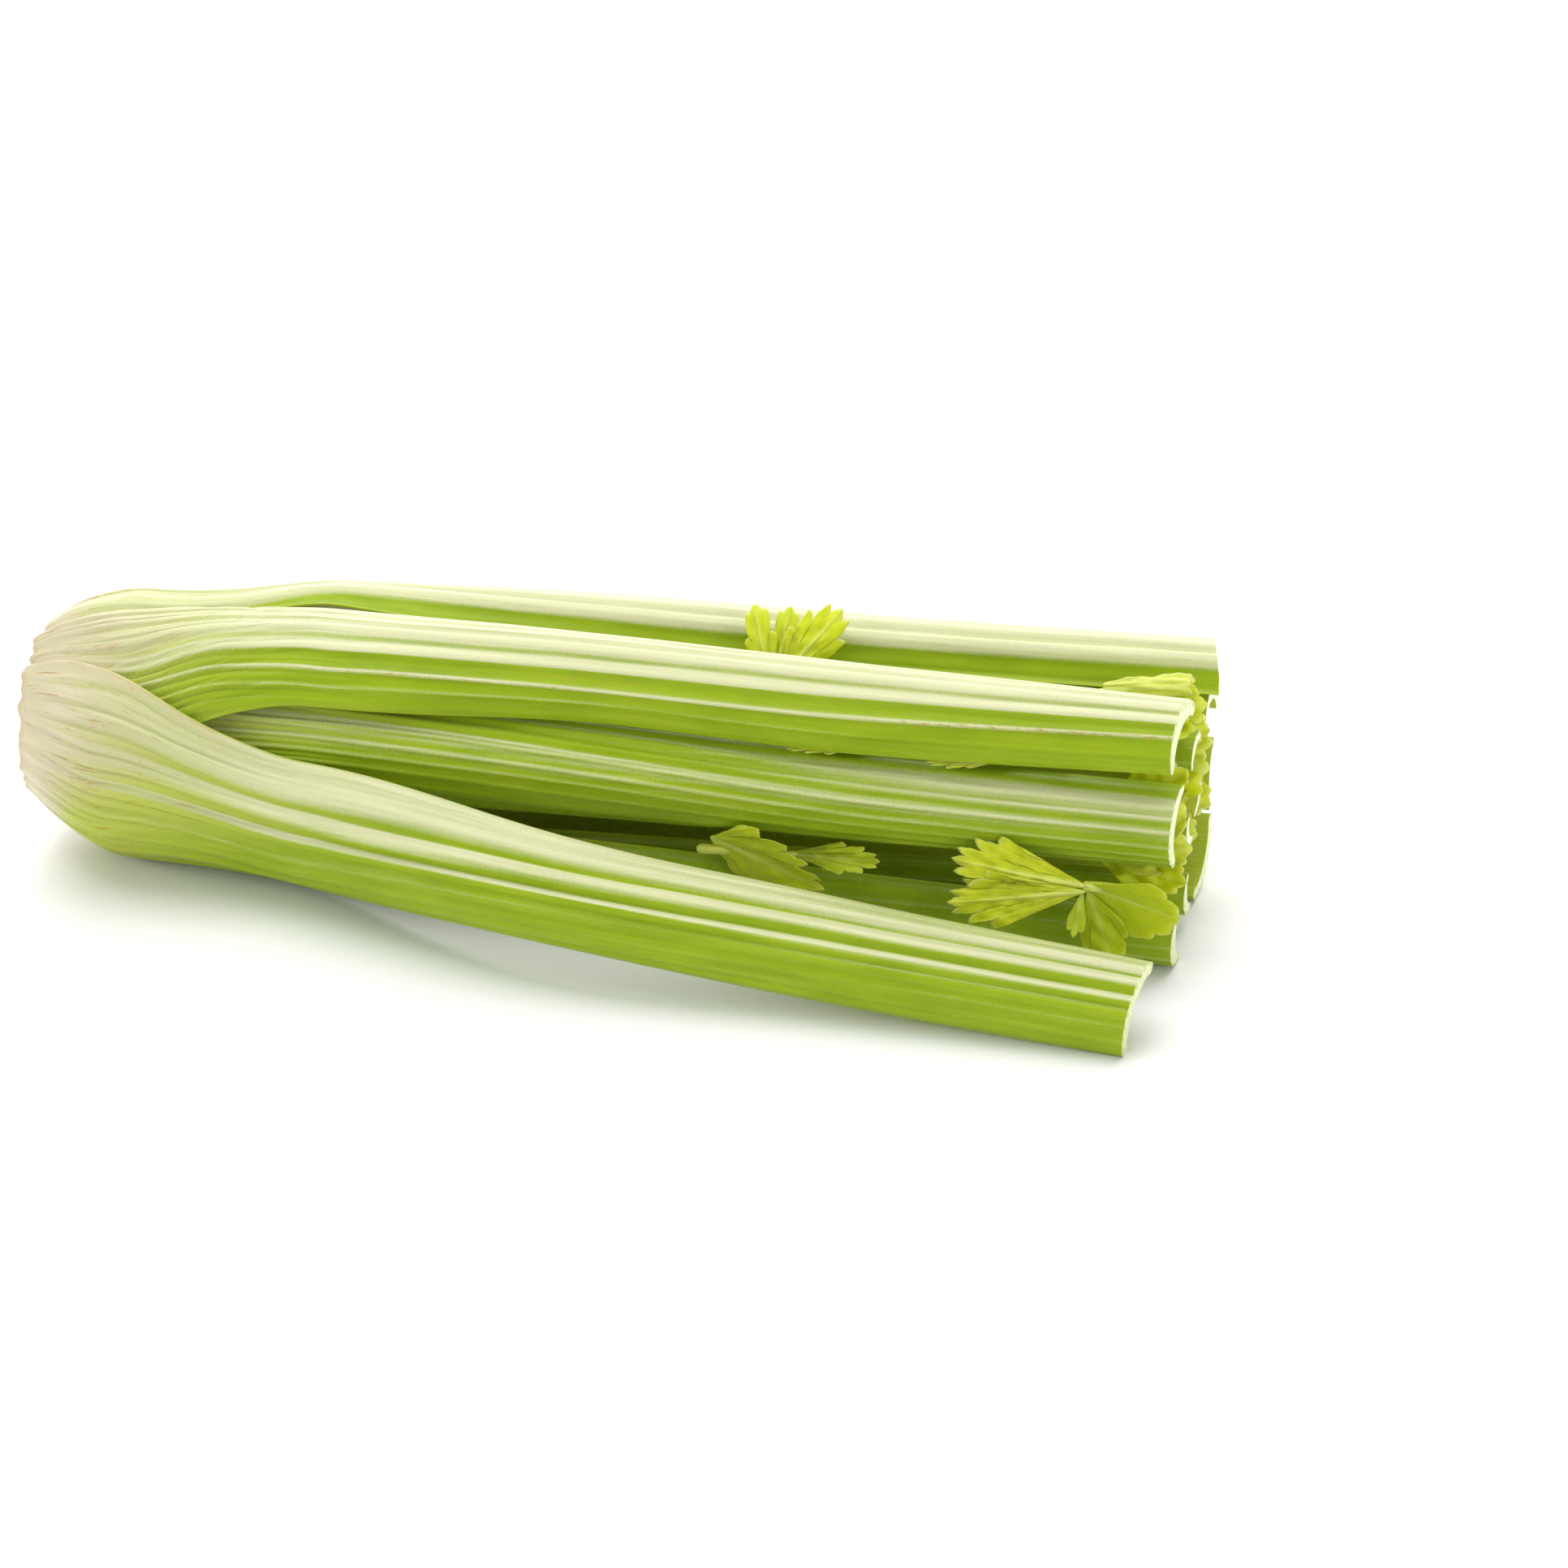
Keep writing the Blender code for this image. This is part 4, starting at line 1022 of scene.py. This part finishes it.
class Leaf:
    """One toothed blade, as in the part: it spreads like a fan from its base to its tip. ruffle is
    how far its edge waves, swirl shifts the waves so that no two blades match, tone is 1 for a
    bright blade, lower for a blade painted darker green as painted shade, down to 0 for one in full
    shadow, and above 1 for a paler young blade, loss is how much shorter it is at its sides than
    along its middle, and cut how deep its teeth are."""

    def __init__(self, base, tip, across, width, teeth, fan=40.0, fold=0.15, curl=0.1, ruffle=0.05,
                 swirl=0.0, tone=1.0, loss=0.3, cut=1.0):
        self.base, self.tip = np.array(base, float), np.array(tip, float)
        self.across, self.width, self.teeth = np.array(across, float), width, teeth
        self.fan, self.fold, self.curl = math.radians(fan), fold, curl
        self.ruffle, self.swirl, self.tone = ruffle, swirl, tone
        self.loss, self.cut = loss, cut


def tooth_cut(at, teeth, cut):
    """How far the rim is cut in, as a share of the blade's length, at a place counted in teeth:
    pointed teeth, each with one small tooth on its long side, and deeper lobes."""
    number = np.clip(np.floor(at), 0, teeth - 1)
    inside = np.clip(at - number, 0, 1)
    lobes = [teeth // 3, teeth - teeth // 3]
    low = np.where(np.isin(number, lobes), LOBE_NOTCH, TOOTH_NOTCH)
    high = np.where(np.isin(number + 1, lobes), LOBE_NOTCH, TOOTH_NOTCH)
    depth = cut * (1 - low * (1 - inside) - high * inside)
    middle = number + 0.5 - teeth / 2
    peak = np.where(np.abs(middle) < 0.1, 8, np.where(middle < 0, 11, TOOTH_RAYS - 11)) / TOOTH_RAYS
    rise = np.where(inside < peak, inside / peak, (1 - inside) / (1 - peak))
    long_side = (inside < peak) == (peak > 0.5)
    point = rise ** 0.6 - 0.12 * long_side * np.exp(-(((rise - 0.55) / 0.12) ** 2))
    return depth * (1 - point)


def segment_distance(spots, start, end):
    """Each spot's distance from a straight line between two points, and the place along it."""
    line = end - start
    t = np.clip(((spots - start) @ line) / (line @ line), 0, 1)
    return np.linalg.norm(spots - start - t[..., None] * line, axis=-1), t


def leaf_blade(leaf, thickness, quilting, rows=34):
    """A blade as points, faces and attributes: veins, rim and its own flat coordinates."""
    length = np.linalg.norm(leaf.tip - leaf.base)
    ahead = unit(leaf.tip - leaf.base)
    side = unit(leaf.across - ahead * np.dot(leaf.across, ahead))
    up = np.cross(ahead, side)
    fan, teeth = leaf.fan, leaf.teeth
    at = np.linspace(0, teeth, teeth * TOOTH_RAYS + 1)
    turn = (2 * at / teeth - 1) * fan
    smooth_reach = length * (1 - leaf.loss * np.abs(turn / fan) ** 2.2)
    spread = leaf.width / np.max(smooth_reach * np.sin(turn))
    # The teeth point half outwards and half towards the tip of the blade.
    cut = length * tooth_cut(at, teeth, leaf.cut)
    lean_out = np.clip(turn / fan, -1, 1)
    share = np.linspace(0, 1, rows) ** 0.85
    u = share[None, :] * (smooth_reach * np.cos(turn) - cut * (1 - 0.7 * np.abs(lean_out)))[:, None]
    v = share[None, :] * (smooth_reach * np.sin(turn) * spread - 0.9 * cut * lean_out)[:, None]
    spots = np.stack([u, v], -1)
    nearest = np.full(u.shape, 99.0)
    weight = np.zeros(u.shape)
    lines = [(np.zeros(2), np.array([length, 0.0]), 0.6, 1.0)]
    for tooth in range(teeth):
        place = tooth + (11 if tooth + 0.5 < teeth / 2 else TOOTH_RAYS - 11) / TOOTH_RAYS
        bend = (2 * place / teeth - 1) * fan
        stretch = length * (1 - leaf.loss * abs(bend / fan) ** 2.2) * 0.95
        end = np.array([stretch * math.cos(bend), stretch * math.sin(bend) * spread])
        start = np.array([length * (0.04 + 0.42 * (1 - abs(bend / fan)) ** 1.2), 0.0])
        lines.append((start, end, 0.2, 0.28))
    for start, end, size, strength in lines:
        gap, t = segment_distance(spots, start, end)
        taper = size * (1.2 - 0.9 * t)
        near = np.exp(-((gap / taper) ** 2))
        weight = np.maximum(weight, strength * near * (1 - 0.5 * t))
        nearest = np.minimum(nearest, gap)
    edge = np.minimum(1 - share[None, :], (1 - np.abs(turn / fan))[:, None] * 1.5)
    wave = (np.sin(5 * turn + leaf.swirl)[:, None] + 0.6 * np.sin(9 * turn[:, None] + 2 * leaf.swirl
            + 3 * share[None, :]))
    height = leaf.fold * np.abs(v) + leaf.curl * u**2 / length
    height = height + leaf.ruffle * length * share[None, :] ** 2 * wave * 0.6
    height = height + quilting * (1 - np.exp(-((nearest / 1.5) ** 2))) * np.clip(edge * 6, 0, 1)
    crumple = np.sin(1.1 * u + 2.0 * leaf.swirl) * np.sin(1.3 * v + leaf.swirl) + 0.6 * np.sin(
        0.7 * u - 1.7 * v + 3 * leaf.swirl)
    height = height + 4 * leaf.ruffle * crumple * np.clip(share[None, :] * 3, 0, 1)
    spot = leaf.base + ahead * u[..., None] + side * v[..., None] + up * height[..., None]
    body = thickness * np.clip(edge * 9, 0, 1) ** 0.5 * (0.6 + 0.4 * weight)
    below = spot - up * (body + 0.5 * weight * (1 - share[None, :] * 0.8))[..., None] * np.sign(
        body)[..., None]
    rays, count = len(turn), rows
    points = np.concatenate([spot.reshape(-1, 3), below.reshape(-1, 3)])
    faces = np.concatenate([grid_faces(rays, count, flip=False),
                            grid_faces(rays, count, start=rays * count, flip=True)])
    rim = np.clip(1 - edge * 14, 0, 1)
    attributes = {"vein": weight, "rim": rim, "leaf_u": u, "leaf_v": v, "tone": 0 * u + leaf.tone}
    doubled = {key: np.tile(value.ravel(), 2) for key, value in attributes.items()}
    doubled["leaf_u"] = doubled["leaf_u"] + 37.0 * leaf.swirl
    return points, faces.tolist(), doubled


def bent_line(points, count):
    """Evenly many points on a smooth curve through a few."""
    points = np.array(points, float)
    keys = np.concatenate([[0], np.cumsum(np.linalg.norm(np.diff(points, axis=0), axis=1))])
    slopes = np.gradient(points, keys, axis=0)
    out = []
    for d in np.linspace(0, keys[-1], count):
        i = int(np.clip(np.searchsorted(keys, d) - 1, 0, len(keys) - 2))
        w = keys[i + 1] - keys[i]
        t = (d - keys[i]) / w
        out.append(points[i] * (2 * t**3 - 3 * t**2 + 1) + slopes[i] * w * (t**3 - 2 * t**2 + t)
                   + points[i + 1] * (3 * t**2 - 2 * t**3) + slopes[i + 1] * w * (t**3 - t**2))
    return np.array(out)


def leaf_stem(points, thick, thin, sides=20, count=36):
    """A leaf stem: a round tube with a shallow channel along its upper side."""
    line = bent_line(points, count)
    turn = np.linspace(0, 2 * math.pi, sides, endpoint=False)
    rings = []
    for i, point in enumerate(line):
        ahead = unit(line[min(i + 1, count - 1)] - line[max(i - 1, 0)])
        side = unit(np.cross(ahead, (0, 0, 1)))
        up = np.cross(side, ahead)
        radius = thick + (thin - thick) * i / (count - 1)
        radius = radius * (1 - 0.28 * np.exp(-(((turn - math.pi / 2) / 0.5) ** 2))
                           + 0.05 * np.cos(7 * turn))
        if i in (0, count - 1):
            radius = radius * 0.6
        way = np.cos(turn)[:, None] * side + np.sin(turn)[:, None] * up
        rings.append(point + radius[:, None] * way)
    rings = [np.repeat(line[:1], sides, 0), *rings, np.repeat(line[-1:], sides, 0)]
    grid = np.array(rings).reshape(-1, 3)
    faces = grid_faces(len(rings), sides, closed=True).tolist()
    channel = np.exp(-(((turn - math.pi / 2) / 0.6) ** 2))
    attributes = {"vein": np.tile(0.75 - 0.5 * channel, len(rings)), "rim": np.zeros(len(grid)),
                  "leaf_u": grid[:, 0], "leaf_v": grid[:, 1], "tone": np.ones(len(grid))}
    return grid, faces, attributes


def rolled_blade(start, end, radius, thickness, sides=72, rows=40):
    """A young leaf still rolled into an open tube, wider and toothed at its far end."""
    start, end = np.array(start, float), np.array(end, float)
    ahead = unit(end - start)
    side = unit(np.cross(ahead, (0, 0, 1)))
    up = np.cross(side, ahead)
    turns = np.radians(np.linspace(-200, 100, sides))
    place = np.linspace(0, 7, sides)
    tooth = 0.8 * np.abs(np.sin(math.pi * place)) ** 0.7
    outer, inner, vein = [], [], []
    for share in np.linspace(0, 1, rows):
        size = radius * (0.55 + 0.45 * math.sin(math.pi * min(share * 1.6, 1.0) / 2) + 0.15 * share)
        flare = 1 + 0.16 * share**2 * np.sin(3 * turns + 1) + 0.07 * np.sin(7 * turns + 9 * share)
        flare = flare + 0.06 * np.sin(14 * share + 2 * turns) + 0.04 * np.sin(31 * share - 4 * turns)
        size = size * flare - 0.25 * np.abs(np.sin(math.pi * place)) ** 8
        way = np.cos(turns)[:, None] * side + np.sin(turns)[:, None] * up
        middle = start + (end - start) * share + ahead * (tooth * share**4)[:, None]
        wall = thickness * (1 - smooth(0.93, 1.0, share)) * np.clip(
            6 * (1 - np.abs(np.linspace(-1, 1, sides))), 0, 1)
        outer.append(middle + way * size[:, None])
        inner.append(middle + way * (size - wall)[:, None])
        vein.append(np.abs(np.cos(math.pi * place)) ** 10)
    points = np.concatenate([np.concatenate(outer), np.concatenate(inner)])
    faces = np.concatenate([grid_faces(rows, sides, flip=True), grid_faces(rows, sides, rows * sides)])
    share = np.repeat(np.linspace(0, 1, rows), sides)
    across = np.tile(place * 2.2, rows)
    attributes = {"vein": np.concatenate(vein), "rim": smooth(0.93, 1.0, share),
                  "leaf_u": share * 19, "leaf_v": across, "tone": np.full(len(share), 1.5)}
    return points, faces.tolist(), {key: np.tile(v, 2) for key, v in attributes.items()}


def joined(shapes):
    """Several meshes as one, each welded first."""
    points, faces, attributes, at = [], [], {}, 0
    for shape in shapes:
        spots, quads, data = welded(*shape)
        points.append(spots)
        faces += [[i + at for i in quad] for quad in quads]
        for key, value in data.items():
            attributes.setdefault(key, []).append(value)
        at += len(spots)
    return np.concatenate(points), faces, {k: np.concatenate(v) for k, v in attributes.items()}


def sprays():
    """The leaves between the stalks: for each node its stems and its blades."""
    # A blade's tone below 1 paints it darker green, as painted shade where it lies in shadow.
    return {
        "leaf_spray_top": (
            [([(142, 9, 46.4), (156, 9.5, 46.8), (165, 10.5, 49), (168.5, 12, 52)], 1.3, 0.9)],
            [Leaf((166.5, 11, 50.5), (160.4, 20, 64.5), (1, 0, 0.3), 4.0, 5, 62, 0.1, swirl=1,
                  tone=0.85, loss=0.5, cut=1.1),
             Leaf((168, 11.5, 50.5), (168.8, 20.5, 64.7), (1, 0, 0), 3.8, 5, 60, 0.1, swirl=2, tone=0.7,
                  loss=0.45, cut=1.1),
             Leaf((168.5, 11.5, 50.5), (181, 21.5, 64.4), (1, 0, -0.6), 6.4, 7, 62, 0.1, swirl=3,
                  loss=0.45, cut=1.5)]),
        "leaf_spray_front_middle": (
            [([(156, -16.6, 21.4), (163, -17.2, 22), (171, -16.8, 21.6), (178.5, -16.4, 22.4)],
              1.2, 0.8)],
            [Leaf((159, -17.4, 24.8), (186.4, -22, 18.2), (0, -0.15, 1), 9.0, 9, 72, 0.04, swirl=4,
                  tone=0.5, loss=0.3, cut=1.7),
             Leaf((176, -16.4, 22.2), (198.2, -19.5, 24.4), (0, 0.5, 1), 3.6, 7, 46, 0.1, swirl=5,
                  tone=0.25, loss=0.4, cut=0.9)]),
        "leaf_spray_front_end": (
            [([(254, -17.5, 21.5), (248.5, -18.8, 23), (242.5, -20.5, 24)], 1.5, 1.1)],
            [Leaf((243.5, -20.4, 24.1), (213.8, -23.6, 28.0), (0, 0.14, 1), 7.4, 7, 46, 0.05, swirl=6,
                  loss=0.28, cut=1.25),
             Leaf((243.5, -21, 23.2), (213.6, -27, 19.2), (0, 0.3, 1), 6.8, 7, 42, 0.05, swirl=7,
                  tone=0.85, loss=0.28, cut=1.25),
             Leaf((242.5, -21, 23.2), (241.4, -24, 13.2), (1, 0, 0.1), 2.4, 3, 40, 0.1, swirl=8,
                  tone=0.3),
             Leaf((243.5, -20.8, 23.2), (250.5, -23, 7.6), (1, 0, 0.35), 5.8, 5, 48, 0.06, swirl=9,
                  tone=0.05, cut=0.9),
             Leaf((242.5, -20.2, 24), (264, -20.6, 18.6), (0, -0.1, 1), 8.4, 5, 50, 0.2, 0.05, 0.03, 10,
                  tone=0.2, loss=0.05, cut=0.5)]),
        "leaf_spray_between": (
            [([(236, -2.5, 46), (215, -3, 46.2), (192, -3.5, 46.2)], 1.1, 0.8)],
            [Leaf((228, -3.3, 46.1), (206, -12.2, 45.8), (0.4, 1, 0), 4.4, 7, 50, 0.0, 0.0, 0.01, 11),
             Leaf((196, -3.7, 46.2), (175, -12.2, 45.9), (0.4, 1, 0), 4.4, 7, 50, 0.0, 0.0, 0.01, 12)]),
    }


def frill(base, tip, width, swirl, tone=1.25, teeth=5):
    """One crumpled young blade, turned to face up and forwards."""
    return Leaf(base, tip, (0, 0.48, 0.88), 1.35 * width, teeth, 56, 0.1, 0.06, 0.17, swirl, tone,
                0.25, 0.8)


def young_leaves():
    """The young leaves at the cut end: for each node its stems and its blades."""
    # A tone below the frills' own 1.25 paints a blade darker, as painted shade.
    return {
        "leaf_spray_top_end": ([([(222, 14, 47.8), (232, 16, 49.6), (242.5, 17, 53)], 1.3, 1.0)], []),
        "heart_leaf_top": (
            [([(230, 19.5, 46.6), (238, 19.5, 47), (246, 19, 47.2)], 1.2, 0.9)],
            [frill((243, 18.5, 47.5), (263.8, 17, 51.5), 5.2, 13),
             frill((242, 12, 48), (262, 8, 50), 3.6, 17, 0.6),
             frill((243, 19.5, 46.5), (264, 20, 43.5), 4.4, 18)]),
        "heart_leaf_front": (
            [([(228, -3.5, 22.5), (238, -3.2, 23), (246, -3, 23.5)], 1.2, 0.9)],
            [frill((242, -2.5, 24), (262.8, -1.5, 36), 6.4, 14),
             frill((242, -3, 23.5), (264, -2, 25.5), 4.6, 19),
             frill((242, -3, 23), (263.2, -4, 18), 4.4, 20, 0.7),
             frill((242, 0, 31), (262, 1, 43.5), 3.8, 24, 0.6)]),
        "heart_leaf_low": (
            [([(230, 16, 17.5), (238, 16.5, 17.5), (246, 17, 17.7)], 1.1, 0.9)],
            [frill((242, 16.5, 17.6), (263.6, 15, 20), 4.8, 15),
             frill((242, 15, 18), (262.8, 12.8, 30), 5.2, 21),
             frill((243, 15, 24), (264, 14, 35.5), 4.2, 25, 0.8)]),
        "heart_leaf_back": (
            [([(230, 28, 31), (238, 28.5, 31.2), (246, 29, 31.5)], 1.2, 0.9)],
            [frill((242, 28.7, 31.5), (264, 29, 36), 4.6, 16),
             frill((242, 28.7, 31), (263.4, 29.5, 29), 4.8, 22),
             frill((242, 28.5, 30), (264.2, 27.5, 20.8), 4.8, 23)]),
    }


def build_leaves(context, table, material):
    """Each leafy node as one object: its stems, its blades and any rolled leaf."""
    leaf = context.scene.celery_leaf
    for node, (stems, blades) in table.items():
        shapes = [leaf_stem(points, thick, thin) for points, thick, thin in stems]
        shapes += [leaf_blade(blade, leaf.thickness / MM, leaf.quilting / MM) for blade in blades]
        if node == "leaf_spray_top_end":
            shapes.append(rolled_blade((240.5, 17, 53.2), (259.5, 17, 56), 2.3, leaf.thickness / MM))
        made = mesh_object(node + "_leaves", *joined(shapes))
        made.data.materials.append(material)
        stand_for(made, node)


class CELERY_OT_outer_stalks(bpy.types.Operator):
    """Build the four outer stalks with their ribbed skin"""
    bl_idname = "celery.outer_stalks"
    bl_label = "Outer Stalks"

    def execute(self, context):
        build_stalks(context, OUTER, 170, 150)
        return {"FINISHED"}


class CELERY_OT_inner_stalks(bpy.types.Operator):
    """Build the inner stalks with their ribbed skin"""
    bl_idname = "celery.inner_stalks"
    bl_label = "Inner Stalks"

    def execute(self, context):
        build_stalks(context, [s for s in INNER if not s.name.endswith("inner")], 130, 120)
        build_stalks(context, [s for s in INNER if s.name.endswith("inner")], 72, 80)
        return {"FINISHED"}


class CELERY_OT_heart_stalks(bpy.types.Operator):
    """Build the thin stalks of the heart"""
    bl_idname = "celery.heart_stalks"
    bl_label = "Heart Stalks"

    def execute(self, context):
        build_stalks(context, HEART, 48, 60)
        return {"FINISHED"}


class CELERY_OT_root_crown(bpy.types.Operator):
    """Build the cut root that the stalks grow from"""
    bl_idname = "celery.root_crown"
    bl_label = "Root Crown"

    def execute(self, context):
        made = crown_shape()
        made.data.materials.append(look_of("celery_root", root_material, context.scene.celery_skin))
        stand_for(made, "root_crown")
        return {"FINISHED"}


class CELERY_OT_leaves(bpy.types.Operator):
    """Build the leaf sprays between the stalks"""
    bl_idname = "celery.leaves"
    bl_label = "Leaves"

    def execute(self, context):
        material = look_of("celery_leaf", leaf_material, "celery_leaf", context.scene.celery_leaf)
        build_leaves(context, sprays(), material)
        return {"FINISHED"}


class CELERY_OT_young_leaves(bpy.types.Operator):
    """Build the rolled leaf and the leaves of the heart"""
    bl_idname = "celery.young_leaves"
    bl_label = "Young Leaves"

    def execute(self, context):
        material = look_of("celery_young_leaf", leaf_material, "celery_young_leaf",
                           context.scene.celery_leaf, 1.1)
        build_leaves(context, young_leaves(), material)
        return {"FINISHED"}


def floor_material():
    """Matt white paper with a faint tone."""
    made, nodes, shader = new_material("paper", 0.7, Specular_IOR_Level=0.2)
    place = nodes.add("ShaderNodeTexCoord").outputs["Object"]
    tone = nodes.noise(place, 6.0, 2.0)
    nodes.put(shader["Base Color"], nodes.mix(tone, (0.90, 0.905, 0.90), (0.93, 0.93, 0.925)))
    return made


class CELERY_OT_stage(bpy.types.Operator):
    """Set the pale floor, the soft light and the camera"""
    bl_idname = "celery.stage"
    bl_label = "Stage"

    def execute(self, context):
        scene, stage = context.scene, context.scene.celery_stage
        reach, back, height, bend = 3.0, 1.6, 2.0, 0.6
        profile = [(-reach, 0.0), (back - bend, 0.0)]
        profile += [(back - bend + bend * math.sin(t), bend * (1 - math.cos(t)))
                    for t in np.linspace(0, math.pi / 2, 14)[1:]]
        profile.append((back, height))
        points = [(x, y, z) for y, z in profile for x in (-reach, reach)]
        mesh = bpy.data.meshes.new("floor")
        mesh.from_pydata(points, [], [(2 * i, 2 * i + 1, 2 * i + 3, 2 * i + 2)
                                      for i in range(len(profile) - 1)])
        mesh.shade_smooth()
        mesh.materials.append(floor_material())
        floor = bpy.data.objects.new("floor", mesh)
        scene.collection.objects.link(floor)
        lights = (("light_top", (-0.1, 0.15, 1.5), (1.8, 1.2), stage.light_power),
                  ("light_back", (-0.1, 1.45, 0.9), (2.6, 1.0), stage.back_power),
                  ("light_left", (-1.5, -0.8, 0.6), (1.0, 0.8), stage.side_power),
                  ("light_right", (1.5, -0.9, 0.6), (1.0, 0.8), stage.side_power))
        for name, place, size, power in lights:
            data = bpy.data.lights.new(name, "AREA")
            data.shape, data.size, data.size_y, data.energy = "RECTANGLE", *size, power
            light = bpy.data.objects.new(name, data)
            light.location = place
            way = np.array(place) - AIM
            light.rotation_euler = (math.acos(way[2] / np.linalg.norm(way)), 0,
                                    math.atan2(way[0], -way[1]))
            scene.collection.objects.link(light)
        world = bpy.data.worlds.new("surroundings")
        world.use_nodes = True
        world.node_tree.nodes["Background"].inputs["Color"].default_value = (1, 1, 1, 1)
        world.node_tree.nodes["Background"].inputs["Strength"].default_value = stage.sky
        scene.world = world
        a, e = stage.azimuth, stage.elevation
        data = bpy.data.cameras.new("camera")
        data.sensor_fit = "HORIZONTAL"
        data.lens = data.sensor_width * stage.distance / stage.framed_width
        camera = bpy.data.objects.new("camera", data)
        backward = np.array((math.sin(a) * math.cos(e), -math.cos(a) * math.cos(e), math.sin(e)))
        camera.location = AIM + backward * stage.distance
        camera.rotation_euler = (math.pi / 2 - e, 0, a)
        scene.collection.objects.link(camera)
        scene.camera = camera
        scene.view_settings.view_transform = "Standard"
        scene.view_settings.look = "None"
        return {"FINISHED"}


class CELERY_PT_panel(bpy.types.Panel):
    """Lists the pieces of the head and its stage"""
    bl_label = "Head of Celery"
    bl_idname = "CELERY_PT_panel"
    bl_space_type = "VIEW_3D"
    bl_region_type = "UI"
    bl_category = "Celery"

    def draw(self, context):
        for group in ("celery_skin", "celery_leaf", "celery_stage"):
            box = self.layout.box()
            settings = getattr(context.scene, group)
            for name in settings.__annotations__:
                box.prop(settings, name)
        for step in STEPS:
            self.layout.operator(step.bl_idname)


GROUPS = (CelerySkin, CeleryLeaf, CeleryStage)
STEPS = (CELERY_OT_root_crown, CELERY_OT_outer_stalks, CELERY_OT_inner_stalks,
         CELERY_OT_heart_stalks, CELERY_OT_leaves, CELERY_OT_young_leaves, CELERY_OT_stage)


def register():
    for made in (*GROUPS, *STEPS, CELERY_PT_panel):
        bpy.utils.register_class(made)
    bpy.types.Scene.celery_skin = PointerProperty(type=CelerySkin)
    bpy.types.Scene.celery_leaf = PointerProperty(type=CeleryLeaf)
    bpy.types.Scene.celery_stage = PointerProperty(type=CeleryStage)


def unregister():
    del bpy.types.Scene.celery_skin, bpy.types.Scene.celery_leaf, bpy.types.Scene.celery_stage
    for made in reversed((*GROUPS, *STEPS, CELERY_PT_panel)):
        bpy.utils.unregister_class(made)


def main():
    register()
    bpy.ops.celery.root_crown()
    bpy.ops.celery.outer_stalks()
    bpy.ops.celery.inner_stalks()
    bpy.ops.celery.heart_stalks()
    bpy.ops.celery.leaves()
    bpy.ops.celery.young_leaves()
    bpy.ops.celery.stage()


if __name__ == "__main__":
    main()
